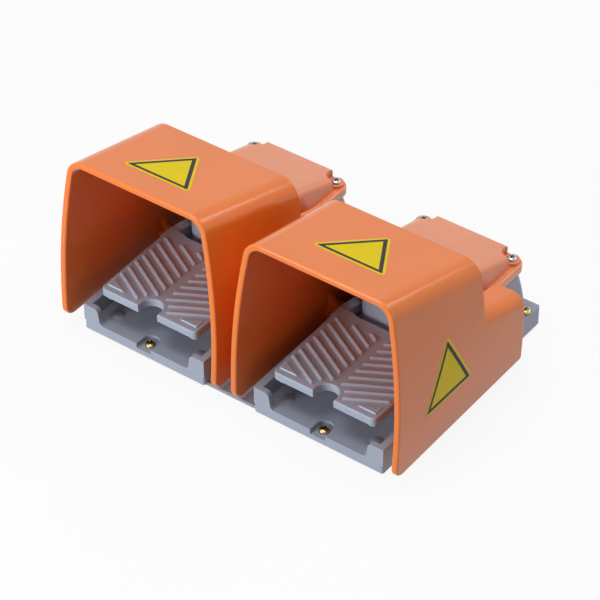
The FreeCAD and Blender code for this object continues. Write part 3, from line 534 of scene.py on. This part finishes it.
def hood_hits(side, starts, direction):
    """Points where rays from the starts meet one side's packed hood."""
    work = bmesh.new()
    work.from_mesh(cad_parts[side + "_guard_hood"].data)
    tree = BVHTree.FromBMesh(work)
    work.free()
    hits = [tree.ray_cast(Vector(start), Vector(direction))[0] for start in starts]
    if any(hit is None for hit in hits):
        raise RuntimeError("no surface behind a label on the " + side + " hood")
    return hits


def roof_place(side):
    """Puts label points on the hood's roof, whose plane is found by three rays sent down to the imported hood."""
    origin = unit_origin(side)
    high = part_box(side + "_guard_hood")[1].z + RAY_START
    probes = np.array(((-25, 30), (25, 30), (0, 80))) * MM
    hits = hood_hits(side, [(origin.x + x, origin.y + y, high) for x, y in probes], (0, 0, -1))
    slopes = np.linalg.solve(np.column_stack((probes, np.ones(3))), np.array([hit.z for hit in hits]))
    normal = np.array((-slopes[0], -slopes[1], 1.0))
    normal /= np.linalg.norm(normal)

    def place(flat, lift):
        z = flat @ slopes[:2] + slopes[2]
        points = np.column_stack((flat[:, 0] + origin.x, flat[:, 1] + origin.y, z))
        return points + lift[:, None] * normal
    return place


def wall_place(side):
    """Puts label points on the hood's outer wall, whose bow is a parabola through three heights of the wall."""
    origin = unit_origin(side)
    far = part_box(side + "_guard_hood")[1].x + RAY_START
    middle_y, heights = 56 * MM, np.array((45, 70, 95)) * MM
    hits = hood_hits(side, [(far, origin.y + middle_y, origin.z + z) for z in heights], (-1, 0, 0))
    bow = np.polyfit(heights, [hit.x for hit in hits], 2)

    def place(flat, lift):
        x = np.polyval(bow, flat[:, 1]) + lift
        return np.column_stack((x, flat[:, 0] + origin.y, flat[:, 1] + origin.z))
    return place


# Labels: name, side, surface, and corners in mm from the switch's origin, across and along for a roof, along and up
# for a wall
LABELS = (
    ("left_roof_label", "left", roof_place, ((-32.0, 27.9), (26.9, 28.7), (-3.3, 78.3))),
    ("right_roof_label", "right", roof_place, ((-27.7, 34.1), (32.2, 34.5), (3.1, 83.8))),
    ("right_wall_label", "right", wall_place, ((28.2, 44.6), (86.4, 43.6), (57.7, 97.0))),
)


# Cord gland

def gland_nut_piece(side, materials):
    """Domed nut turned round the cord's line; on its straight part the radius dips in a ring of grooves.

    Radius is profile(y) - groove_depth * max(0, cos(grooves * angle))**groove_power * fade(y).
    """
    low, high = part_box(side + "_gland_nut")
    seal_low, seal_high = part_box(side + "_gland_seal")
    centre = (low + high) / 2
    length, outer, clearance = high.y - low.y, (high.x - low.x) / 2, 0.05 * MM
    bore = (seal_high.x - seal_low.x) / 2 + clearance
    grooves, groove_depth, dome_drop, lip, columns = 12, 0.9 * MM, 3.0 * MM, 0.6 * MM, 96
    straight, groove_end, groove_fade, dome_power, groove_power = 0.55, 0.62, 0.12, 1.2, 6
    side_rows, dome_rows = 6, 13
    t = np.linspace(0, 1, dome_rows)
    dome_y = straight * length + (1 - straight) * length * np.sin(t * math.pi / 2)
    dome_r = outer - dome_drop * (1 - np.cos(t * math.pi / 2)) ** dome_power
    along = np.concatenate(((0, lip / 2, lip), np.linspace(0.1, 0.5, side_rows) * length, dome_y,
                            (length, length, length - lip, length / 2, 0.0)))
    radius = np.concatenate(((outer - lip, outer - lip / 4, outer), np.full(side_rows, outer), dome_r,
                             (bore + 2 * lip, bore + lip / 2, bore, bore, bore)))
    is_skin = np.arange(len(along)) < 3 + side_rows + dome_rows
    angles = np.arange(columns) * 2 * math.pi / columns
    fade = is_skin * np.clip((groove_end * length - along) / (groove_fade * length), 0, 1)
    dip = groove_depth * np.maximum(0, np.cos(grooves * angles)) ** groove_power
    r = radius[:, None] - fade[:, None] * dip[None]
    profile = np.stack((np.repeat(along[:, None], columns, 1), r), axis=-1)
    points = turned(profile, angles, (centre.x, low.y, centre.z), (0, 1, 0))
    faces = grid_faces(len(along), columns, closed_rows=True)
    return piece_of(side + "_domed_nut", [(points, faces)], materials)


# Return springs and stop pads

def coil_springs(side, materials):
    """Round wire on a helix for each packed spring: centre + mean_r * ray + rise * share + wire_r * ring.

    The ring lies in the plane of the ray and of the ray turned across the wire's run.
    """
    wire_r, turns, rows, columns = 1.0 * MM, 3, 90, 12
    parts = []
    for low, high in separate_boxes(side + "_return_springs"):
        mean_r = float(high[0] - low[0]) / 2 - wire_r
        rise = float(high[2] - low[2]) - 2 * wire_r
        base = np.array(((low[0] + high[0]) / 2, (low[1] + high[1]) / 2, low[2] + wire_r), float)
        share = np.linspace(0, 1, rows)[:, None]
        angle = 2 * math.pi * turns * share
        flat = np.zeros_like(share)
        ray = np.concatenate((np.cos(angle), np.sin(angle), flat), axis=1)
        run = np.concatenate((-np.sin(angle), np.cos(angle), flat + rise / (2 * math.pi * turns * mean_r)), axis=1)
        across = np.cross(run / np.linalg.norm(run, axis=1)[:, None], ray)
        line = base + mean_r * ray + rise * share * np.array((0, 0, 1))
        around = (np.arange(columns) * 2 * math.pi / columns)[None, :, None]
        tube = line[:, None] + wire_r * (np.cos(around) * ray[:, None] + np.sin(around) * across[:, None])
        ends = np.repeat(line[[0, -1]][:, None], columns, axis=1)
        tube = np.concatenate((ends[:1], tube, ends[1:]))
        parts.append((tube.reshape(-1, 3), grid_faces(rows + 2, columns)))
    return piece_of(side + "_coil_springs", parts, materials)


def stop_pads(side, materials):
    """Two low round pads on the tray's floor, turned: radius rises to pad_r at the floor and falls to 0 on top."""
    pad_r, pad_h, side_h, sunk, columns = 5.0 * MM, 0.3 * MM, 0.12 * MM, 0.2 * MM, 40
    places = np.array(((-40.3, 18.5, 9.0), (40.3, 18.5, 9.0))) * MM + np.array(unit_origin(side))
    profile = ((-sunk, 0), (-sunk, pad_r), (side_h, pad_r), (pad_h, pad_r - pad_h), (pad_h, 0))
    angles = np.arange(columns) * 2 * math.pi / columns
    faces = grid_faces(len(profile), columns)
    parts = [(turned(profile, angles, place, (0, 0, 1)), faces) for place in places]
    return piece_of(side + "_stop_pads", parts, materials)


# Sizes and colours that a user would change

class FootSwitchPaint(bpy.types.PropertyGroup):
    hood_colour: FloatVectorProperty(
        name="Hood", description="Enamel of the guard hoods", subtype="COLOR",
        min=0, max=1, default=(0.78, 0.185, 0.024))
    cover_colour: FloatVectorProperty(
        name="Cover", description="Enamel of the terminal covers", subtype="COLOR",
        min=0, max=1, default=(0.70, 0.18, 0.04))
    cast_colour: FloatVectorProperty(
        name="Base", description="Satin paint of the base castings", subtype="COLOR",
        min=0, max=1, default=(0.33, 0.37, 0.46))
    pedal_colour: FloatVectorProperty(
        name="Pedal", description="Satin paint of the pedals", subtype="COLOR",
        min=0, max=1, default=(0.34, 0.40, 0.50))
    # Lighter paint on the ribs' tops: painted highlight where they catch the light, and paint rubbed by feet
    rubbed_and_highlight_colour: FloatVectorProperty(
        name="Rubbed and highlit rib tops", description="Paint on the ribs' tops, rubbed lighter by feet", subtype="COLOR",
        min=0, max=1, default=(0.58, 0.72, 0.92))
    plate_colour: FloatVectorProperty(
        name="Joining plate", description="Paint of the sheet under both bases", subtype="COLOR",
        min=0, max=1, default=(0.32, 0.32, 0.38))
    gloss_roughness: FloatProperty(
        name="Enamel roughness", description="Roughness of the orange enamel", subtype="FACTOR",
        min=0, max=1, default=0.18)
    satin_roughness: FloatProperty(
        name="Satin roughness", description="Roughness of the grey paint", subtype="FACTOR",
        min=0, max=1, default=0.5)


class FootSwitchEdges(bpy.types.PropertyGroup):
    hood: FloatProperty(
        name="Hood edges", description="Round on the hoods' edges", subtype="DISTANCE", unit="LENGTH",
        min=0, default=1.0 * MM)
    cover: FloatProperty(
        name="Cover edges", description="Round on the covers' edges", subtype="DISTANCE", unit="LENGTH",
        min=0, default=0.9 * MM)
    casting: FloatProperty(
        name="Base edges", description="Round on the bases' edges", subtype="DISTANCE", unit="LENGTH",
        min=0, default=0.8 * MM)
    pedal: FloatProperty(
        name="Pedal edges", description="Round on the pedals' edges and ribs", subtype="DISTANCE", unit="LENGTH",
        min=0, default=0.6 * MM)
    small: FloatProperty(
        name="Small edges", description="Round on the joining plate and the glands", subtype="DISTANCE",
        unit="LENGTH", min=0, default=0.35 * MM)


class FootSwitchLabels(bpy.types.PropertyGroup):
    margin: FloatProperty(
        name="Outer margin", description="Yellow outside the dark border", subtype="DISTANCE", unit="LENGTH",
        min=0, default=2.0 * MM)
    border: FloatProperty(
        name="Border", description="Width of the dark border", subtype="DISTANCE", unit="LENGTH",
        min=0, default=3.0 * MM)
    corner: FloatProperty(
        name="Corner", description="Radius of the label's corners", subtype="DISTANCE", unit="LENGTH",
        min=0, default=2.6 * MM)
    thickness: FloatProperty(
        name="Thickness", description="How far the film stands off the paint", subtype="DISTANCE", unit="LENGTH",
        min=0, default=0.15 * MM)
    yellow: FloatVectorProperty(
        name="Yellow", description="Printed yellow", subtype="COLOR", min=0, max=1, default=(0.74, 0.56, 0.002))
    dark: FloatVectorProperty(
        name="Dark", description="Printed border", subtype="COLOR", min=0, max=1, default=(0.035, 0.03, 0.035))


class FootSwitchStudio(bpy.types.PropertyGroup):
    sky: FloatProperty(
        name="Surround", description="Strength of the white surround on the object", min=0, default=0.16)
    top: FloatProperty(
        name="Top lamp", description="Power of the soft lamp overhead", subtype="POWER", unit="POWER",
        min=0, default=17.5)
    front: FloatProperty(
        name="Front lamp", description="Power of the low soft lamp in front", subtype="POWER", unit="POWER",
        min=0, default=19.0)
    side: FloatProperty(
        name="Side lamp", description="Power of the soft lamp on the right", subtype="POWER", unit="POWER",
        min=0, default=2.4)
    back: FloatProperty(
        name="Back lamp", description="Power of the soft lamp behind", subtype="POWER", unit="POWER",
        min=0, default=7.5)
    floor: FloatProperty(
        name="Floor", description="Grey level of the floor for the light that it throws back", subtype="FACTOR",
        min=0, max=1, default=0.5)
    plain: FloatProperty(
        name="Plain share", description="How much of the floor's white is even light, not shaded paint",
        subtype="FACTOR", min=0, max=1, default=0.85)


# Operators

class FOOTSWITCH_OT_hoods(bpy.types.Operator):
    """Makes both guard hoods in orange enamel"""
    bl_idname = "foot_switch.hoods"
    bl_label = "Guard hoods"

    def execute(self, context):
        paint, edges = context.scene.foot_switch_paint, context.scene.foot_switch_edges
        enamel = paint_finish("hood_enamel", paint.hood_colour, paint.gloss_roughness,
                              coat=0.05, coat_roughness=0.06, coat_ior=1.5, peel_depth=0.015 * MM)
        for side in SIDES:
            hood = rounded_copy(side + "_guard_hood", side + "_hood", edges.hood, [enamel])
            finished(hood, "frame", "hood_orange", side + "_guard_hood")
        return {"FINISHED"}


# Where the cover's side walls are divided, so that their lean can fade in, in mm from the front of the base
LEAN_CUTS = (126, 131, 136, 141, 146)


def drafted_sides(side):
    """Leans the cover's side walls outwards down to its flange, as the moulded one has them.

    A point above the flange moves out by widest - draft * height over the flange. The move fades in behind the
    front screws, and fades out round the scallops and at the rear screws' bosses. A moved point comes no nearer
    to a rear screw than clear_r, or than it was, and is pushed straight away from the screw where it would.
    """
    origin = np.array(unit_origin(side))
    screws = [(low + high) / 2 - origin for low, high in separate_boxes(side + "_cover_screws")]
    rear_screw = np.abs(max(screws, key=lambda p: p[1]))
    boss_r, clear_r, wall_x, flange_z = 6.4 * MM, 8.2 * MM, 39.2 * MM, 63.4 * MM
    widest, draft = 4.8 * MM, 0.14
    fade_y, fade_len, scallop_y, scallop_len = 126 * MM, 20 * MM, 193 * MM, 5.2 * MM
    inner_x, inner_len, near = 26 * MM, 8 * MM, 0.05 * MM

    def move(points):
        x, y, z = (points - origin).T
        across = np.abs(x)
        shift = np.clip(widest - draft * (z - flange_z), 0, None)
        along = np.clip((y - fade_y) / fade_len, 0, 1)
        along = along * along * (3 - 2 * along) * np.clip((scallop_y - y) / scallop_len, 0, 1)
        near_side = np.clip((across - inner_x) / inner_len, 0, 1)
        above = (z > flange_z + near) | ((z > flange_z - near) & (across < wall_x))
        before = np.hypot(across - rear_screw[0], y - rear_screw[1])
        shift = shift * along * near_side * above * (before > boss_r)
        dx, dy = across + shift - rear_screw[0], y - rear_screw[1]
        after = np.maximum(np.hypot(dx, dy), MERGE_DISTANCE)
        push = np.where(shift > 0, np.maximum(1.0, np.minimum(before, clear_r) / after), 1.0)
        moved = points.copy()
        moved[:, 0] = origin[0] + np.sign(x) * (rear_screw[0] + dx * push)
        moved[:, 1] = origin[1] + rear_screw[1] + dy * push
        return moved
    return move


class FOOTSWITCH_OT_covers(bpy.types.Operator):
    """Makes both terminal covers and gives their gaskets a rubber finish"""
    bl_idname = "foot_switch.covers"
    bl_label = "Terminal covers"

    def execute(self, context):
        paint, edges = context.scene.foot_switch_paint, context.scene.foot_switch_edges
        enamel = paint_finish("cover_enamel", paint.cover_colour, paint.satin_roughness,
                              coat=1.0, coat_roughness=0.32, coat_ior=1.65, peel_depth=0.03 * MM)
        rubber = moulded_finish("gasket_rubber", (0.03, 0.03, 0.032), 0.75)
        for side in SIDES:
            front = unit_origin(side).y
            cover = rounded_copy(side + "_terminal_cover", side + "_cover", edges.cover, [enamel],
                                 cuts=[front + y * MM for y in LEAN_CUTS],
                                 reshape=drafted_sides(side))
            finished(cover, "frame", "cover_orange", side + "_terminal_cover")
            dress(side + "_cover_gasket", rubber)
        return {"FINISHED"}


class FOOTSWITCH_OT_bases(bpy.types.Operator):
    """Makes both base castings and the joining plate in grey paint"""
    bl_idname = "foot_switch.bases"
    bl_label = "Bases and joining plate"

    def execute(self, context):
        paint, edges = context.scene.foot_switch_paint, context.scene.foot_switch_edges
        grey = cast_finish("base_paint", paint.cast_colour, paint.satin_roughness, 0.03 * MM)
        sheet = cast_finish("plate_paint", paint.plate_colour, paint.satin_roughness, 0.01 * MM)
        for side in SIDES:
            base = rounded_copy(side + "_base_casting", side + "_base", edges.casting, [grey])
            finished(base, "frame", "cast_grey", side + "_base_casting")
            finished(stop_pads(side, [grey]), "frame", "cast_grey")
        plate = rounded_copy("joining_plate", "joining_sheet", edges.small, [sheet], segments=2)
        finished(plate, "frame", "plate_grey", "joining_plate")
        return {"FINISHED"}


def crowned_ribs(work):
    """Rounds the ribs: each flat top is drawn in by draw_in, and its old outline sinks by drop.

    The ribs' tops, and the slopes round the triangular pads, take the second material, a lighter paint that is
    painted highlight where they catch the light, and paint rubbed by feet.
    """
    draw_in, drop, near, upward, pad_corners = 0.5 * MM, 0.4 * MM, 0.02 * MM, 0.99, 3
    level = max(v.co.z for v in work.verts)
    tops = [f for f in work.faces if f.normal.z > upward and abs(f.calc_center_median().z - level) < near]
    outline = list({v for f in tops for v in f.verts})
    pads = [f for f in tops if len(f.verts) == pad_corners]
    ribs = [f for f in tops if f not in pads]
    rubbed = bmesh.ops.inset_individual(work, faces=pads, thickness=draw_in, use_even_offset=True)["faces"]
    bmesh.ops.inset_individual(work, faces=ribs, thickness=draw_in, use_even_offset=True)
    bmesh.ops.translate(work, verts=outline, vec=(0, 0, -drop))
    for face in ribs + rubbed:
        face.material_index = 1


class FOOTSWITCH_OT_pedals(bpy.types.Operator):
    """Makes both ribbed pedals in grey paint"""
    bl_idname = "foot_switch.pedals"
    bl_label = "Pedals"

    def execute(self, context):
        paint, edges = context.scene.foot_switch_paint, context.scene.foot_switch_edges
        # The second finish is lighter paint on the ribs' tops: painted highlight and paint rubbed by feet
        greys = [cast_finish("pedal_paint", paint.pedal_colour, paint.satin_roughness, 0.03 * MM),
                 cast_finish("rubbed_paint", paint.rubbed_and_highlight_colour, paint.satin_roughness, 0.01 * MM)]
        for side in SIDES:
            pedal = rounded_copy(side + "_pedal", side + "_ribbed_pedal", edges.pedal, greys, crown=crowned_ribs)
            finished(pedal, side + "_treadle", "pedal_grey", side + "_pedal")
        return {"FINISHED"}


class FOOTSWITCH_OT_labels(bpy.types.Operator):
    """Puts the blank triangular labels on the hoods"""
    bl_idname = "foot_switch.labels"
    bl_label = "Labels"

    def execute(self, context):
        sizes = context.scene.foot_switch_labels
        inks = [printed_finish("label_yellow", sizes.yellow, 0.4), printed_finish("label_dark", sizes.dark, 0.45)]
        for name, side, place_on, corners in LABELS:
            label = label_piece(name, corners, place_on(side), sizes, inks)
            finished(label, "frame", "hood_orange")
        return {"FINISHED"}


class FOOTSWITCH_OT_screws(bpy.types.Operator):
    """Makes every screw with its cross recess and thread"""
    bl_idname = "foot_switch.screws"
    bl_label = "Screws"

    def execute(self, context):
        # Each second finish darkens the cross recesses: painted shade in the hollow, not the plating's colour
        gold = [chromate_finish("yellow_chromate", (0.55, 0.42, 0.14), (0.50, 0.22, 0.24), (0.24, 0.36, 0.14), 0.24),
                metal_finish("chromate_recess", (0.09, 0.065, 0.035), 0.5)]
        zinc = [metal_finish("screw_zinc", (0.42, 0.42, 0.44), 0.22),
                metal_finish("zinc_recess", (0.07, 0.07, 0.075), 0.5)]
        for side in SIDES:
            for kind in SCREWS:
                piece, slot = screw_set(side, kind, gold if kind == "base_screws" else zinc)
                finished(piece, "frame", slot, side + "_" + kind)
        return {"FINISHED"}


class FOOTSWITCH_OT_glands(bpy.types.Operator):
    """Makes both cord glands in black nylon"""
    bl_idname = "foot_switch.glands"
    bl_label = "Cord glands"

    def execute(self, context):
        edges = context.scene.foot_switch_edges
        nylon = moulded_finish("gland_nylon", (0.022, 0.022, 0.025), 0.42)
        rubber = moulded_finish("seal_black", (0.03, 0.03, 0.03), 0.7)
        for side in SIDES:
            body = rounded_copy(side + "_gland_body", side + "_gland_hex", edges.small, [nylon])
            finished(body, "frame", "gland_black", side + "_gland_body")
            finished(gland_nut_piece(side, [nylon]), "frame", "gland_black", side + "_gland_nut")
            dress(side + "_gland_seal", rubber)
        return {"FINISHED"}


class FOOTSWITCH_OT_works(bpy.types.Operator):
    """Gives the pivot, lever, springs and contact block their finishes"""
    bl_idname = "foot_switch.works"
    bl_label = "Inner works"

    def execute(self, context):
        finishes = {
            "pivot_shaft": metal_finish("shaft_steel", (0.56, 0.57, 0.59), 0.22, brush=(6.0, 0.3, 0.3)),
            "shaft_pins": metal_finish("pin_steel", (0.5, 0.51, 0.53), 0.3),
            "cam_pin": metal_finish("cam_pin_steel", (0.5, 0.51, 0.53), 0.3),
            "pivot_bushes": metal_finish("bush_bronze", (0.45, 0.29, 0.12), 0.38, second=(0.36, 0.22, 0.09)),
            "cam_lever": metal_finish("lever_zinc", (0.6, 0.61, 0.63), 0.35, brush=(0.4, 5.0, 0.4)),
            "block_bracket": metal_finish("bracket_zinc", (0.6, 0.61, 0.63), 0.35, brush=(0.4, 5.0, 0.4)),
            "terminal_screws": metal_finish("terminal_brass", (0.68, 0.5, 0.18), 0.3),
            "plunger": moulded_finish("plunger_acetal", (0.8, 0.8, 0.77), 0.35),
            "contact_block": moulded_finish("block_phenolic", (0.03, 0.03, 0.034), 0.45),
        }
        wire = metal_finish("spring_wire", (0.38, 0.39, 0.41), 0.3, brush=(1.0, 1.0, 8.0))
        for side in SIDES:
            for node, material in finishes.items():
                dress(side + "_" + node, material)
            coils = coil_springs(side, [wire])
            finished(coils, "frame", "spring_steel", side + "_return_springs")
            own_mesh(coils)
        return {"FINISHED"}


class FOOTSWITCH_OT_studio(bpy.types.Operator):
    """Sets the white floor and surround, the lamps and the camera"""
    bl_idname = "foot_switch.studio"
    bl_label = "Studio"

    def execute(self, context):
        studio = context.scene.foot_switch_studio
        white_floor(studio.floor, studio.plain)
        white_surround(studio.sky)
        for name, (place, size) in LAMPS.items():
            soft_lamp(name + "_lamp", place, size, getattr(studio, name))
        photo_camera(context.scene)
        context.scene.view_settings.view_transform = "Standard"
        return {"FINISHED"}


def dress(node, material):
    """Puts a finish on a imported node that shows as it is."""
    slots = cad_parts[node].data.materials
    slots.clear()
    slots.append(material)


# Studio

def shown_directly(tree):
    """Socket that is 1 for rays from the camera, in a reflection or through glass, and 0 for light on the object."""
    path = tree.nodes.new("ShaderNodeLightPath")
    value = path.outputs["Is Camera Ray"]
    for name in ("Is Glossy Ray", "Is Transmission Ray"):
        larger = tree.nodes.new("ShaderNodeMath")
        larger.operation = "MAXIMUM"
        tree.links.new(value, larger.inputs[0])
        tree.links.new(path.outputs[name], larger.inputs[1])
        value = larger.outputs[0]
    return value


def white_floor(grey, plain_share):
    """Floor just under the object: shaded grey, mixed with even white for the rays that show it directly."""
    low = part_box("joining_plate")[0].z - FLOOR_GAP
    corners = [(x * FLOOR_HALF, y * FLOOR_HALF, low) for x, y in ((-1, -1), (1, -1), (1, 1), (-1, 1))]
    mesh = bpy.data.meshes.new("studio_floor")
    mesh.from_pydata(corners, [], [(0, 1, 2, 3)])
    floor = bpy.data.objects.new("studio_floor", mesh)
    bpy.context.scene.collection.objects.link(floor)
    material = bpy.data.materials.new("floor_white")
    material.use_nodes = True
    tree = material.node_tree
    tree.nodes.clear()
    new, link = tree.nodes.new, tree.links.new
    matte = new("ShaderNodeBsdfDiffuse")
    matte.inputs["Color"].default_value = (grey, grey, grey, 1)
    even = new("ShaderNodeEmission")
    even.inputs["Strength"].default_value = FLOOR_WHITE
    share = new("ShaderNodeMath")
    share.operation = "MULTIPLY"
    share.inputs[1].default_value = plain_share
    link(shown_directly(tree), share.inputs[0])
    blend = new("ShaderNodeMixShader")
    for socket, source in zip(blend.inputs, (share, matte, even)):
        link(source.outputs[0], socket)
    link(blend.outputs[0], new("ShaderNodeOutputMaterial").inputs["Surface"])
    mesh.materials.append(material)


def white_surround(strength):
    """World that shows as white and lights the object with the given strength."""
    world = bpy.data.worlds.new("studio_white")
    bpy.context.scene.world = world
    world.use_nodes = True
    tree = world.node_tree
    background = tree.nodes["Background"]
    background.inputs["Color"].default_value = (1, 1, 1, 1)
    level = tree.nodes.new("ShaderNodeMapRange")
    level.inputs["To Min"].default_value = strength
    level.inputs["To Max"].default_value = 1.0
    tree.links.new(shown_directly(tree), level.inputs["Value"])
    tree.links.new(level.outputs["Result"], background.inputs["Strength"])


def soft_lamp(name, place, size, watts):
    """Square lamp turned towards the object."""
    lamp = bpy.data.lights.new(name, "AREA")
    lamp.size = size
    lamp.energy = watts
    holder = bpy.data.objects.new(name, lamp)
    bpy.context.scene.collection.objects.link(holder)
    aim = Vector(LAMPS_AIM) - Vector(place)
    holder.location = place
    holder.rotation_euler = aim.to_track_quat("-Z", "Y").to_euler()


def photo_camera(scene):
    """Camera whose back points from the object along the turn and height, rolled about its own axis."""
    turn, height, roll = (math.radians(a) for a in (CAMERA_TURN, CAMERA_HEIGHT, CAMERA_ROLL))
    back = Vector((math.sin(turn) * math.cos(height), -math.cos(turn) * math.cos(height), math.sin(height)))
    right = Vector((math.cos(turn), math.sin(turn), 0))
    up = back.cross(right)
    rolled_right = right * math.cos(roll) + up * math.sin(roll)
    rolled_up = up * math.cos(roll) - right * math.sin(roll)
    camera = bpy.data.cameras.new("photo_camera")
    camera.lens = CAMERA_LENS
    holder = bpy.data.objects.new("photo_camera", camera)
    scene.collection.objects.link(holder)
    matrix = Matrix((rolled_right, rolled_up, back)).transposed().to_4x4()
    matrix.translation = Vector(CAMERA_PLACE)
    holder.matrix_world = matrix
    scene.camera = holder


class FOOTSWITCH_PT_pieces(bpy.types.Panel):
    """Lists the groups of pieces with their sizes and colours"""
    bl_idname = "FOOTSWITCH_PT_pieces"
    bl_label = "Foot switch"
    bl_space_type = "VIEW_3D"
    bl_region_type = "UI"
    bl_category = "Foot switch"

    def draw(self, context):
        """Draws a button for each operator and a field for each property."""
        for maker in MAKERS:
            self.layout.operator(maker.bl_idname)
        for group in (context.scene.foot_switch_paint, context.scene.foot_switch_edges,
                      context.scene.foot_switch_labels, context.scene.foot_switch_studio):
            box = self.layout.box()
            for name in group.__annotations__:
                box.prop(group, name)


MAKERS = (FOOTSWITCH_OT_hoods, FOOTSWITCH_OT_covers, FOOTSWITCH_OT_bases, FOOTSWITCH_OT_pedals,
          FOOTSWITCH_OT_labels, FOOTSWITCH_OT_screws, FOOTSWITCH_OT_glands, FOOTSWITCH_OT_works,
          FOOTSWITCH_OT_studio)
GROUPS = {"foot_switch_paint": FootSwitchPaint, "foot_switch_edges": FootSwitchEdges,
          "foot_switch_labels": FootSwitchLabels, "foot_switch_studio": FootSwitchStudio}


def register():
    """Registers the classes and puts the property groups on the scene."""
    for cls in (*GROUPS.values(), *MAKERS, FOOTSWITCH_PT_pieces):
        bpy.utils.register_class(cls)
    for name, group in GROUPS.items():
        setattr(bpy.types.Scene, name, PointerProperty(type=group))


def unregister():
    """Takes back what register did."""
    for name in GROUPS:
        delattr(bpy.types.Scene, name)
    for cls in (FOOTSWITCH_PT_pieces, *reversed(MAKERS), *GROUPS.values()):
        bpy.utils.unregister_class(cls)


def main():
    """Makes every piece and the studio."""
    register()
    bpy.ops.foot_switch.hoods()
    bpy.ops.foot_switch.covers()
    bpy.ops.foot_switch.bases()
    bpy.ops.foot_switch.pedals()
    bpy.ops.foot_switch.labels()
    bpy.ops.foot_switch.screws()
    bpy.ops.foot_switch.glands()
    bpy.ops.foot_switch.works()
    bpy.ops.foot_switch.studio()


if __name__ == "__main__":
    main()
